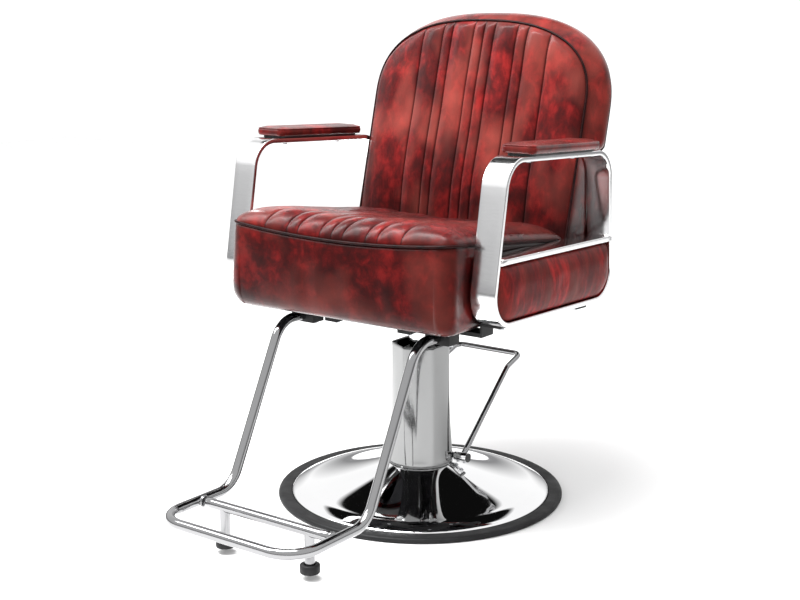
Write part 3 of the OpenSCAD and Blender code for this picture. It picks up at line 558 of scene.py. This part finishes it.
RUNG_Y, POST_X, WELD_R = -0.490, 0.1034, 0.0011
rung = space(np.array([[-FOOT_W + 0.006, RUNG_Y, FOOT_Z], [FOOT_W - 0.006, RUNG_Y, FOOT_Z]]), 0.03)
rung_parts = [sweep(rung, circle(FOOT_R, 32), (0, 0, 1))]
for side in (-1, 1):
    for r, x in ((0.0116, FOOT_W - 0.0105), (0.0108, FOOT_W - 0.0125)):
        bead = [(side * x + WELD_R * math.cos(a), r - 0.0006 + WELD_R * math.sin(a))
                for a in np.linspace(0, 2 * math.pi, 8, endpoint=False)]
        rung_parts.append(turned_about_x(bead, RUNG_Y, FOOT_Z, 40))
points, faces = join(rung_parts)
add_mesh("footrest_rung", points, faces, TUBE, "seat", ["footrest_crossbar"])

foot_profile = [(0.0, 0.0110), (0.0160, 0.0110), (0.0180, 0.0118), (0.0187, 0.0135), (0.0187, 0.0250),
                (0.0181, 0.0270), (0.0166, 0.0280), (0.0120, 0.0280), (0.0108, 0.0272), (0.0105, 0.0255),
                (0.0105, 0.0175)]
foot_parts = []
for side in (-1, 1):
    p, f = lathe(foot_profile, 56, False)
    p = [(x + side * POST_X, y + RUNG_Y, z) for x, y, z in p]
    foot_parts.append((p, f))
points, faces = join(foot_parts)
add_mesh("footrest_pads", points, faces, RUBBER, "seat", ["footrest_feet"])

# ---- arms ----

ARM_TOP_SLOPE, ARM_FOOT_SLOPE = 0.045, 0.038


def arm_top(y):
    return 0.7376 - ARM_TOP_SLOPE * y


def arm_foot(y):
    return 0.4282 - ARM_FOOT_SLOPE * y


ARM_CORNERS = [np.array(p) for p in ((-0.190, arm_top(-0.190)), (0.214, arm_top(0.214)), (0.235, arm_foot(0.235)),
                                     (-0.245, arm_foot(-0.245)))]


def inset(corners, r, t):
    """The corners of a line t inside another whose corners turn to radius r."""
    out = []
    for i, b in enumerate(corners):
        a, c = corners[i - 1], corners[(i + 1) % len(corners)]
        u, v = unit(a - b), unit(c - b)
        half = math.acos(u @ v) / 2
        centre = b + unit(u + v) * r / math.sin(half)
        out.append(centre + (b - centre) * (r - t) / r)
    return out


def on_arm(side, points):
    """Turns what is drawn for the left arm in and mirrors it for the right one."""
    p = np.array(points, float)
    dx, y = p[:, 0] - ARM_MID, p[:, 1].copy()
    p[:, 0] = ARM_MID + dx * math.cos(ARM_TOE) - y * math.sin(ARM_TOE)
    p[:, 1] = dx * math.sin(ARM_TOE) + y * math.cos(ARM_TOE)
    p[:, 0] *= side
    return p


def mirrored(side, faces):
    return [tuple(reversed(f)) for f in faces] if side < 0 else faces


def panel_outline():
    """The lower part of the loop's inside, under the cross bar, with its upper corners just rounded off."""
    r = ARM_CORNER_R - BAR_T - PANEL_GAP
    a, b, c, d = inset(ARM_CORNERS, ARM_CORNER_R, BAR_T + PANEL_GAP)
    top = lambda y: RAIL_Z - RAIL_T - 0.0025 - RAIL_SLOPE * y
    rear = b + (c - b) * (b[1] - top(b[0])) / (b[1] - c[1])
    rear[1] = top(rear[0])
    front = a + (d - a) * (a[1] - top(a[0])) / (a[1] - d[1])
    front[1] = top(front[0])
    line = round_corners([d, c, rear, front], [r, r, 0.016, 0.010], 12, True)
    return space(np.vstack([line, line[:1]]), 0.008)[:-1]


PAD_W, PAD_L, PAD_Y, PAD_LIFT = 0.073, 0.268, 0.009, 0.004
pad_outline = space(np.array([(x, y) for x, y in rounded_rect(PAD_W / 2, PAD_L / 2, 0.014, 10, 0)]), 0.006)
pad_wall = [(0.0040, 0.0), (0.0016, 0.0008), (0.0004, 0.0030), (-0.0004, 0.0070), (-0.0002, 0.0100),
            (0.0006, 0.0124), (0.0013, 0.0132), (0.0003, 0.0139), (0.0003, 0.0148), (0.0012, 0.0155),
            (0.0030, 0.0158)]
pad_tilt = math.atan(ARM_TOP_SLOPE)

for side, word in ((1, "left"), (-1, "right")):
    route = round_corners([(0, *p) for p in inset(ARM_CORNERS, ARM_CORNER_R, BAR_T / 2)],
                          ARM_CORNER_R - BAR_T / 2, 22, True)
    route = space(np.vstack([route, route[:1]]), 0.02)[:-1]
    # the section's first axis stays across the bar, along X
    along = unit(np.roll(route, -1, axis=0) - np.roll(route, 1, axis=0))
    out = np.cross(along, [1, 0, 0])
    section = rounded_rect(BAR_W / 2, BAR_T / 2, 0.0021, 5, 3)
    rings = [[q + np.array([ARM_MID + a, 0, 0]) + o * b for a, b in section] for q, o in zip(route, out)]
    p = [v for ring in rings for v in ring]
    f = bands(rings, True, True)
    add_mesh("arm_band_" + word, on_arm(side, p), mirrored(-side, f), SATIN, "seat", ["arm_" + word])

    bar_y = [-0.2085, 0.2235]
    line = space(np.array([[ARM_MID, y, RAIL_Z - RAIL_T / 2 - RAIL_SLOPE * y] for y in bar_y]), 0.02)
    section = [(a, b) for b, a in rounded_rect(0.0055, BAR_W / 2, 0.0018, 5, 0)]
    p, f = sweep(line, section, (0, 0, 1))
    add_mesh("arm_rail_" + word, on_arm(side, p), mirrored(side, f), SATIN, "seat",
             ["arm_crossbar_" + word])

    outline = panel_outline()
    x_in, x_edge = ARM_MID - BAR_W / 2 + 0.003, ARM_OUTER - 0.006
    wall = [(0.003, x_in), (0.0005, x_in + 0.002), (0.0, x_in + 0.010), (0.0, x_edge - 0.008),
            (0.0002, x_edge - 0.003), (0.0010, x_edge), (0.0022, x_edge + 0.0022)]
    stand = lambda flat, h: np.stack([h, flat[:, 0], flat[:, 1]], axis=1)
    p, f = pillow(outline, wall, 0.0145, 0.050, stand, 2.3, 0.75, 18, 0.0012)
    obj = add_mesh("side_pad_" + word, on_arm(side, p), mirrored(side, f), VINYL_SIDE, "seat",
                   ["side_panel_" + word])

    lift = arm_top(PAD_Y) + PAD_LIFT

    def rest_place(flat, h):
        y, z = flat[:, 1], h
        return np.stack([ARM_MID + 0.002 + flat[:, 0], PAD_Y + y * math.cos(pad_tilt) + z * math.sin(pad_tilt),
                         lift - y * math.sin(pad_tilt) + z * math.cos(pad_tilt)], axis=1)

    p, f = pillow(pad_outline, pad_wall, 0.0042, 0.026, rest_place, 2.2, 0.8, 12, 0.0007)
    obj = add_mesh("arm_rest_" + word, on_arm(side, p), mirrored(side, f), VINYL_ARM, "seat",
                   ["arm_pad_" + word])

# ---- cushions ----


def seam_columns(half, seams):
    """Places across a cushion, close together at its seams."""
    near = [0.0009, 0.0022, 0.0040, 0.0065, 0.0095]
    xs = set()
    for s in seams:
        xs.add(round(s, 5))
        for d in near:
            xs.update((round(s - d, 5), round(s + d, 5)))
    for a, b in zip(seams[:-1], seams[1:]):
        n = max(1, round((b - a - 0.019) / 0.006))
        xs.update(round(a + 0.0095 + (b - a - 0.019) * k / n, 5) for k in range(n + 1))
    outer = [0.184, 0.190, 0.197, 0.204, 0.211, 0.218, 0.225, 0.232, 0.239, 0.2445, 0.2490, 0.2530, 0.2565,
             0.2592, 0.2612, 0.2627]
    xs.update(x for v in outer if v < half for x in (v, -v) if seams[0] - 0.013 > x or x > seams[-1] + 0.013)
    xs.update((half, -half))
    return np.array(sorted(xs))


def channels(x, tall, low, seams):
    """Height of the stuffed channels between the seams, 0 at a seam."""
    x = np.asarray(x, float)
    out = np.zeros_like(x)
    for a, b in zip(seams[:-1], seams[1:]):
        inside = (x >= a) & (x <= b)
        t = np.abs(2 * x - a - b) / (b - a)
        out[inside] = ((tall if b - a > 0.04 else low) * (1 - t ** 2.5))[inside]
    beyond = np.maximum(seams[0] - x, x - seams[-1])
    return np.where(beyond > 0, tall * (1 - np.exp(-beyond / 0.011)), out)


def seam_depth(x, half_width, seams):
    """1 on a seam and 0 half_width away from it."""
    d = np.min([np.abs(x - s) for s in seams], axis=0)
    return np.clip(1 - d / half_width, 0, 1)


def ripples(points, scale, seed):
    return np.array([noise.noise(Vector((p[0] * scale[0] + seed, p[1] * scale[1], p[2] * scale[2]))) for p in points])


def grid_cushion(grid, loops):
    """A closed cushion: a grid of points for its face, then loops from the face's edge round to its back."""
    rows, cols = grid.shape[:2]
    index = np.arange(rows * cols).reshape(rows, cols)
    faces = [(index[r, c], index[r, c + 1], index[r + 1, c + 1], index[r + 1, c])
             for r in range(rows - 1) for c in range(cols - 1)]
    edge = list(index[0, :]) + list(index[1:, -1]) + list(index[-1, -2::-1]) + list(index[-2:0:-1, 0])
    points = [p for row in grid for p in row]
    n = len(edge)
    before = edge
    for loop in loops:
        start = len(points)
        points += list(loop)
        now = list(range(start, start + n))
        faces += [(before[k], now[k], now[(k + 1) % n], before[(k + 1) % n]) for k in range(n)]
        before = now
    centre = np.mean(loops[-1], axis=0)
    points.append(centre)
    faces += [(before[k], len(points) - 1, before[(k + 1) % n]) for k in range(n)]
    return points, faces, edge


def edge_line(grid2d):
    """The 2D outline round a grid, in the order grid_cushion uses."""
    return np.vstack([grid2d[0, :], grid2d[1:, -1], grid2d[-1, -2::-1], grid2d[-2:0:-1, 0]])


# seat
def seat_cord_z(x, y):
    return 0.578 + 0.016 * (x / SEAT_W) ** 2 - 0.104 * (y + SEAT_FRONT)


def seat_half_width(d):
    r = SEAT_CORNER
    return SEAT_W - r + math.sqrt(max(r * r - (r - d) ** 2, 0.0)) if d < r else SEAT_W


def back_line_y(z):
    """Where the back's front face stands at height z."""
    return BACK_Y + (z - BACK_Z) * math.tan(BACK_LEAN)


seat_rear = back_line_y(SEAT_REAR_Z) - 0.006
depth = SEAT_FRONT + seat_rear
ds = [0, 0.0010, 0.0025, 0.0045, 0.007, 0.010, 0.0135, 0.0175, 0.022, 0.027, 0.033, 0.040, 0.048, 0.057, 0.067,
      0.078, 0.090]
ds += list(np.linspace(0.102, depth - 0.030, 26)) + [depth - 0.022, depth - 0.015, depth - 0.009, depth - 0.004,
                                                    depth - 0.001, depth]
xs = seam_columns(SEAT_W, SEAT_SEAMS)
plan = np.zeros((len(ds), len(xs), 2))
for i, d in enumerate(ds):
    w = seat_half_width(d)
    a = np.abs(xs)
    plan[i, :, 0] = np.sign(xs) * np.where(a > 0.2, 0.2 + (a - 0.2) * (w - 0.2) / (SEAT_W - 0.2), a)
    plan[i, :, 1] = d - SEAT_FRONT
X, Y = plan[..., 0], plan[..., 1]
D = Y + SEAT_FRONT
nominal = np.broadcast_to(xs, X.shape)
side_round = (1 - np.clip(np.abs(nominal) / SEAT_W, 0, 1) ** 4.2) ** 0.50
front_round = (1 - (1 - np.minimum(D / 0.085, 1)) ** 2.3) ** 0.50
rear_round = (1 - (1 - np.minimum((depth - D) / 0.035, 1)) ** 2.2) ** 0.5
crown = 0.043 - 0.004 * smooth(0.1, 0.35, D)
sit = -0.004 * np.exp(-((Y - 0.0) / 0.13) ** 2 - (X / 0.17) ** 2)
swell = channels(nominal, 0.0050, 0.0036, SEAT_SEAMS) * (0.35 + 0.65 * smooth(0.0, 0.016, D))
swell *= 1 + 0.35 * np.exp(-D / 0.04)
swell *= 0.5 + 0.5 * smooth(0, 0.05, depth - D)
pinch = -0.0016 * seam_depth(nominal, 0.0024, SEAT_SEAMS) * smooth(0, 0.01, D)
Z = seat_cord_z(X, Y) - 0.0015 + (crown * side_round * front_round + sit * side_round) * (0.55 + 0.45 * rear_round)
Z += (swell + pinch) * np.minimum(1, side_round * 1.4)
flat = np.stack([X.ravel(), Y.ravel(), Z.ravel()], axis=1)
near_edge = np.minimum(D, SEAT_W - np.abs(nominal)).ravel()
fold = ripples(flat, (95, 14, 0), 2.0) * 0.0011 * np.exp(-near_edge / 0.03) * smooth(0.0, 0.006, near_edge)
soft = ripples(flat, (16, 16, 0), 5.0) * 0.0016 * smooth(0.0, 0.05, near_edge)
Z = (Z.ravel() + fold + soft).reshape(Z.shape)
grid = np.stack([X, Y, Z], axis=-1)

line = edge_line(plan)
out_n = outline_normals(line)
cord = np.array([seat_cord_z(x, y) for x, y in line])
profile = [(-0.0022, 0.0, -0.0036), (0.0000, 0.0, -0.0052), (0.0014, 0.02, -0.0062), (0.0026, 0.06, -0.0068),
           (0.0040, 0.12, -0.007), (0.0052, 0.20, -0.007), (0.0061, 0.30, -0.007), (0.0068, 0.40, -0.007),
           (0.0072, 0.50, -0.007), (0.0074, 0.60, -0.007), (0.0072, 0.69, -0.007), (0.0066, 0.77, -0.007),
           (0.0054, 0.83, -0.007), (0.0034, 0.88, -0.007), (0.0004, 0.925, -0.007), (-0.0036, 0.962, -0.007),
           (-0.0085, 0.986, -0.007), (-0.0140, 0.997, -0.007), (-0.0200, 1.0, -0.007), (-0.0280, 1.0, -0.007),
           (-0.0285, 1.0, -0.007), (-0.05, 1.0, -0.007)]
rear_top = back_line_y(SEAT_REAR_Z)
loops = []
front_share = np.clip(-out_n[:, 1], 0, 1)
rear_share = np.clip(out_n[:, 1], 0, 1)
side_share = np.abs(out_n[:, 0])
for outset, t, drop in profile:
    spread = 0.12 + 0.95 * front_share + 1.3 * front_share * side_share * t
    reach = outset * spread if outset > 0 else np.full(len(line), outset)
    z = (cord + drop) * (1 - t) + SEAT_BOTTOM * t if outset > -0.0282 else np.full(len(line), BOARD_BOTTOM)
    x = line[:, 0] + out_n[:, 0] * reach
    y = line[:, 1] + out_n[:, 1] * reach * (1 - rear_share)
    squeeze = (back_line_y(z) - 0.006 + SEAT_FRONT) / (rear_top - 0.006 + SEAT_FRONT)
    y = -SEAT_FRONT + (y + SEAT_FRONT) * np.minimum(squeeze, 1.0)
    here = np.stack([x, y, z], axis=1)
    billow = ripples(here, (9, 9, 12), 9.0) * 0.0020 + ripples(here, (30, 30, 9), 4.0) * 0.0007
    billow *= 4 * t * (1 - t) * (front_share > 0.05)
    here[:, :2] += out_n * billow[:, None]
    loops.append(here)
points, faces, edge = grid_cushion(grid, loops)
under = [i for i, f in enumerate(faces) if np.mean([points[j][2] for j in f]) < SEAT_BOTTOM + 0.0012]
seat_pad = add_mesh("seat_pad", points, faces, [VINYL_SEAT, CLOTH], "seat",
                    ["seat_cushion", "seat_board"], under)
# Painted shade per point: near black in the seam creases, in the groove under the piping and on the side boxing
# behind the arms.
tone = np.zeros(len(points))
tone[:nominal.size] = (seam_depth(nominal, 0.0026, SEAT_SEAMS) ** 1.3 * 0.9).ravel()
tone[nominal.size:nominal.size + len(edge)] = 0.9
shaded = 0.93 * (side_share > 0.9) * smooth(-0.215, -0.190, line[:, 1])
for k in range(1, len(profile)):
    tone[nominal.size + k * len(edge):nominal.size + (k + 1) * len(edge)] = shaded
mark_seam_shade(seat_pad, tone)

order = [k for k in range(len(line)) if line[k, 1] < CORD_REAR_Y]
right = [k for k in order if k < len(xs) + len(ds)]
left = [k for k in order if k >= len(xs) + len(ds)]
route = np.array([[line[k, 0] + out_n[k, 0] * 0.0008, line[k, 1] + out_n[k, 1] * 0.0008, cord[k]]
                  for k in left + right])
points, faces = sweep(thinned(route), circle(SEAT_CORD_R, 14), (0, 0, 1))
add_mesh("seat_cord", points, faces, PIPING, "seat", ["seat_piping"])


# back
def arch_s(x, w):
    return BACK_SIDE + BACK_ARCH * (1 - np.minimum(np.abs(x) / w, 1) ** BACK_POWER) ** (1 / BACK_POWER)


def bow(x):
    return 0.016 * (np.asarray(x) / BACK_W) ** 2


def on_back(x, s, n):
    return np.stack([x, BACK_Y + s * math.sin(BACK_LEAN) + n * math.cos(BACK_LEAN),
                     BACK_Z + s * math.cos(BACK_LEAN) - n * math.sin(BACK_LEAN)], axis=-1)


def stuffing(x, s):
    """Extra depth of the back's lower rear edges."""
    return 0.026 * (1 - smooth(0.02, 0.17, s)) * smooth(0.185, 0.235, np.abs(x))


inner_x = seam_columns(BACK_W, BACK_SEAMS)
inner_x = inner_x[np.abs(inner_x) < 0.19]
arc = BACK_W * np.cos(np.linspace(math.radians(49), 0, 30)) ** (2 / BACK_POWER)
arc = arc[arc > 0.1935]
xs = np.concatenate([-arc[::-1], inner_x, arc])
v = np.concatenate([np.linspace(0, 0.86, 44), 1 - 0.14 * (1 - np.linspace(0, 1, 22)[1:]) ** 1.6])
S = np.zeros((len(v), len(xs)))
for j, x in enumerate(xs):
    S[:, j] = -BACK_TAIL + v * (arch_s(x, BACK_W) + BACK_TAIL)
X = np.broadcast_to(xs, S.shape).copy()
plan = np.stack([X, S], axis=-1)
line = edge_line(plan)
dist = edge_distance(plan.reshape(-1, 2), line).reshape(X.shape)
swell_edge = (1 - (1 - np.minimum(dist / 0.055, 1)) ** 2.3) ** 0.55
low_part = 0.35 + 0.65 * smooth(-0.02, 0.10, S)
top_gap = arch_s(X, BACK_W) - S
puff = channels(X, 0.0046, 0.0032, BACK_SEAMS) * smooth(0, 0.014, top_gap) * (1 + 0.5 * np.exp(-top_gap / 0.035))
puff *= 0.4 + 0.6 * smooth(-0.03, 0.06, S)
pinch = 0.0016 * seam_depth(X, 0.0024, BACK_SEAMS) * smooth(0, 0.01, top_gap)
lumbar = 0.004 * np.exp(-((S - 0.10) / 0.10) ** 2) * smooth(0.25, 0.1, np.abs(X))
N = bow(X) + 0.0030 - 0.0125 * swell_edge * low_part - (puff - pinch) * np.minimum(1, swell_edge * 1.5) - lumbar * 0.6
flat = np.stack([X.ravel(), S.ravel(), N.ravel() * 0], axis=1)
near = dist.ravel()
fold = ripples(flat, (110, 13, 0), 12.0) * 0.0012 * np.exp(-near / 0.03) * smooth(0, 0.006, near)
soft = ripples(flat, (14, 9, 0), 15.0) * 0.0022 * smooth(0, 0.05, near)
N = (N.ravel() + fold + soft).reshape(N.shape)
grid = on_back(X, S, N)

out_n = outline_normals(line)
BACK_DEPTH = 0.076
flare = 0.027 * smooth(0.165, 0.197, line[:, 1])
profile = [(-0.0022, 0.0034, 0.0), (0.0000, 0.0052, 0.0), (0.0012, 0.0072, 0.02), (0.0024, 0.012, 0.10),
           (0.0033, 0.019, 0.26), (0.0038, 0.027, 0.48), (0.0038, 0.036, 0.70), (0.0036, 0.045, 0.87),
           (0.0032, 0.053, 0.97), (0.0028, 0.061, 1.0),
           (0.0022, 0.0680, 0.98), (0.0006, 0.0722, 0.93), (-0.0020, 0.0748, 0.85), (-0.0060, BACK_DEPTH, 0.75),
           (-0.0140, BACK_DEPTH, 0.5), (-0.0400, BACK_DEPTH, 0.0)]
room = 0.0024 / 0.0038 * (1 - smooth(0.18, 0.22, line[:, 1])) + smooth(0.18, 0.22, line[:, 1])
loops = []
for outset, n, t in profile:
    reach = (outset * room if outset > 0 else outset) + flare * t
    x = line[:, 0] + out_n[:, 0] * reach
    s = line[:, 1] + out_n[:, 1] * reach
    deep = np.maximum(bow(line[:, 0]) * (1 - n / BACK_DEPTH) + n, 0) + stuffing(x, s) * (n / BACK_DEPTH) ** 2
    loops.append(on_back(x, s, deep))
points, faces, edge = grid_cushion(grid, loops)
back_pad = add_mesh("back_pad", points, faces, VINYL_BACK, "seat", ["back_cushion", "back_board"])
# Painted shade per point: near black in the seam creases and in the groove under the back piping.
tone = np.zeros(len(points))
tone[:X.size] = (seam_depth(X, 0.0026, BACK_SEAMS) ** 1.3 * 0.92).ravel()
tone[X.size:X.size + 2 * len(edge)] = 0.9
mark_seam_shade(back_pad, tone)

steps = [k for k in range(len(line)) if k >= len(xs) - 1 or k == 0]
loop = np.array([[line[k, 0] + out_n[k, 0] * 0.0008, line[k, 1] + out_n[k, 1] * 0.0008] for k in steps])
loop = np.vstack([loop[1:], loop[:1]])
kept = thinned(loop)
route = on_back(kept[:, 0], kept[:, 1], bow(kept[:, 0]))
points, faces = sweep(route, circle(BACK_CORD_R, 14), (0, -math.cos(BACK_LEAN), math.sin(BACK_LEAN)))
add_mesh("back_cord", points, faces, PIPING, "seat", ["back_piping"])

# rear cover of the back
arch = np.linspace(0, math.pi, 60)
top_x = BACK_W * np.sign(np.cos(arch)) * np.abs(np.cos(arch)) ** (2 / BACK_POWER)
top_s = BACK_SIDE + BACK_ARCH * np.sin(arch) ** (2 / BACK_POWER) - 0.002
low = [(-BACK_W, -BACK_TAIL + 0.012), (BACK_W, -BACK_TAIL + 0.012)]
shell_line = space(np.vstack([np.stack([top_x, top_s], axis=1), low, [[top_x[0], top_s[0]]]]), 0.008)[:-1]
grow = 0.022 * smooth(0.165, 0.197, shell_line[:, 1])
shell_line = shell_line + outline_normals(shell_line) * grow[:, None]
shell_wall = [(0.004, 0.0700), (0.001, 0.0715), (0.0, 0.0740), (0.0002, 0.0775), (0.0014, 0.0800),
              (0.0036, 0.0816)]


def shell_place(flat, h):
    return on_back(flat[:, 0], flat[:, 1], h + stuffing(flat[:, 0], flat[:, 1]))


p, f = pillow(shell_line, shell_wall, 0.0058, 0.040, shell_place, 2.3, 0.7, 16, 0.0008)
obj = add_mesh("back_shell", p, [tuple(reversed(q)) for q in f], VINYL_BACK, "seat", ["back_cover"])
ring = shell_line + outline_normals(shell_line) * 0.0012
points, faces = sweep(on_back(ring[:, 0], ring[:, 1], 0.0775 + stuffing(ring[:, 0], ring[:, 1])), circle(0.0026, 10),
                      (0, -math.cos(BACK_LEAN), math.sin(BACK_LEAN)), True)
add_mesh("back_welt", points, faces, PIPING, "seat")

# ---- stage ----

floor_mesh = bpy.data.meshes.new("floor")
FLOOR = [(-7, -7, 0), (3.5, -7, 0), (3.5, 5, 0), (-7, 5, 0)]
floor_mesh.from_pydata(FLOOR, [], [(0, 1, 2, 3)])
floor = bpy.data.objects.new("floor", floor_mesh)
scene.collection.objects.link(floor)
floor_look = Look("studio_floor", Base_Color=(0.93, 0.93, 0.93, 1), Roughness=0.9, Specular_IOR_Level=0.1)
floor_mesh.materials.append(floor_look.material)
floor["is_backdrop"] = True


def lamp(name, place, target, size, size_y, power):
    data = bpy.data.lights.new(name, "AREA")
    data.shape, data.size, data.size_y, data.energy = "RECTANGLE", size, size_y, power
    obj = bpy.data.objects.new(name, data)
    obj.location = place
    obj.rotation_euler = (Vector(target) - Vector(place)).to_track_quat("-Z", "Y").to_euler()
    scene.collection.objects.link(obj)
    obj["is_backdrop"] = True


lamp("softbox_left", (-1.25, -1.0, 2.35), (0, -0.05, 0.65), 1.1, 1.5, 62.0)
lamp("softbox_top", (-0.35, -0.60, 2.7), (0, -0.12, 0.6), 1.5, 1.5, 105.0)

world = bpy.data.worlds.new("studio")
scene.world = world
world.use_nodes = True
tree = world.node_tree
coords = tree.nodes.new("ShaderNodeTexCoord")
split = tree.nodes.new("ShaderNodeSeparateXYZ")
ramp = tree.nodes.new("ShaderNodeValToRGB")
tree.links.new(coords.outputs["Generated"], split.inputs[0])
tree.links.new(split.outputs["Z"], ramp.inputs["Fac"])
ramp.color_ramp.elements[0].color = (0.26, 0.26, 0.265, 1)
ramp.color_ramp.elements[0].position = 0.04
ramp.color_ramp.elements[1].color = (1.0, 1.0, 1.0, 1)
ramp.color_ramp.elements[1].position = 0.30

# an unlit patch of ceiling behind the chair, and white where the camera looks past the floor
PATCH_OUTER, PATCH_INNER = 20.5, 18.5
toward = tree.nodes.new("ShaderNodeVectorMath")
toward.operation = "DOT_PRODUCT"
toward.inputs[1].default_value = Vector((-0.589, 0.808, 1.19)).normalized()
tree.links.new(coords.outputs["Generated"], toward.inputs[0])
patch = tree.nodes.new("ShaderNodeMapRange")
patch.inputs["From Min"].default_value = math.cos(math.radians(PATCH_OUTER))
patch.inputs["From Max"].default_value = math.cos(math.radians(PATCH_INNER))
tree.links.new(toward.outputs["Value"], patch.inputs["Value"])
unlit = tree.nodes.new("ShaderNodeMix")
unlit.data_type = "RGBA"
unlit.inputs[7].default_value = (0.004, 0.004, 0.004, 1)
tree.links.new(patch.outputs[0], unlit.inputs[0])
tree.links.new(ramp.outputs["Color"], unlit.inputs[6])
path = tree.nodes.new("ShaderNodeLightPath")
seen = tree.nodes.new("ShaderNodeMix")
seen.data_type = "RGBA"
seen.inputs[7].default_value = (1, 1, 1, 1)
tree.links.new(path.outputs["Is Camera Ray"], seen.inputs[0])
tree.links.new(unlit.outputs[2], seen.inputs[6])
tree.links.new(seen.outputs[2], tree.nodes["Background"].inputs["Color"])
tree.nodes["Background"].inputs["Strength"].default_value = 1.2

scene.view_settings.view_transform = "Standard"
scene.view_settings.look = "None"

# ---- camera ----

camera = bpy.data.objects.new("camera", bpy.data.cameras.new("camera"))
camera.data.sensor_width = 36.0
camera.data.lens = 61.49
camera.location = (1.5931, -2.2572, 1.0088)
CAMERA_DIP, CAMERA_TURN = 12.125, 36.106
camera.rotation_euler = (math.radians(90 - CAMERA_DIP), 0, math.radians(CAMERA_TURN))
scene.collection.objects.link(camera)
scene.camera = camera

low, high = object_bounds()
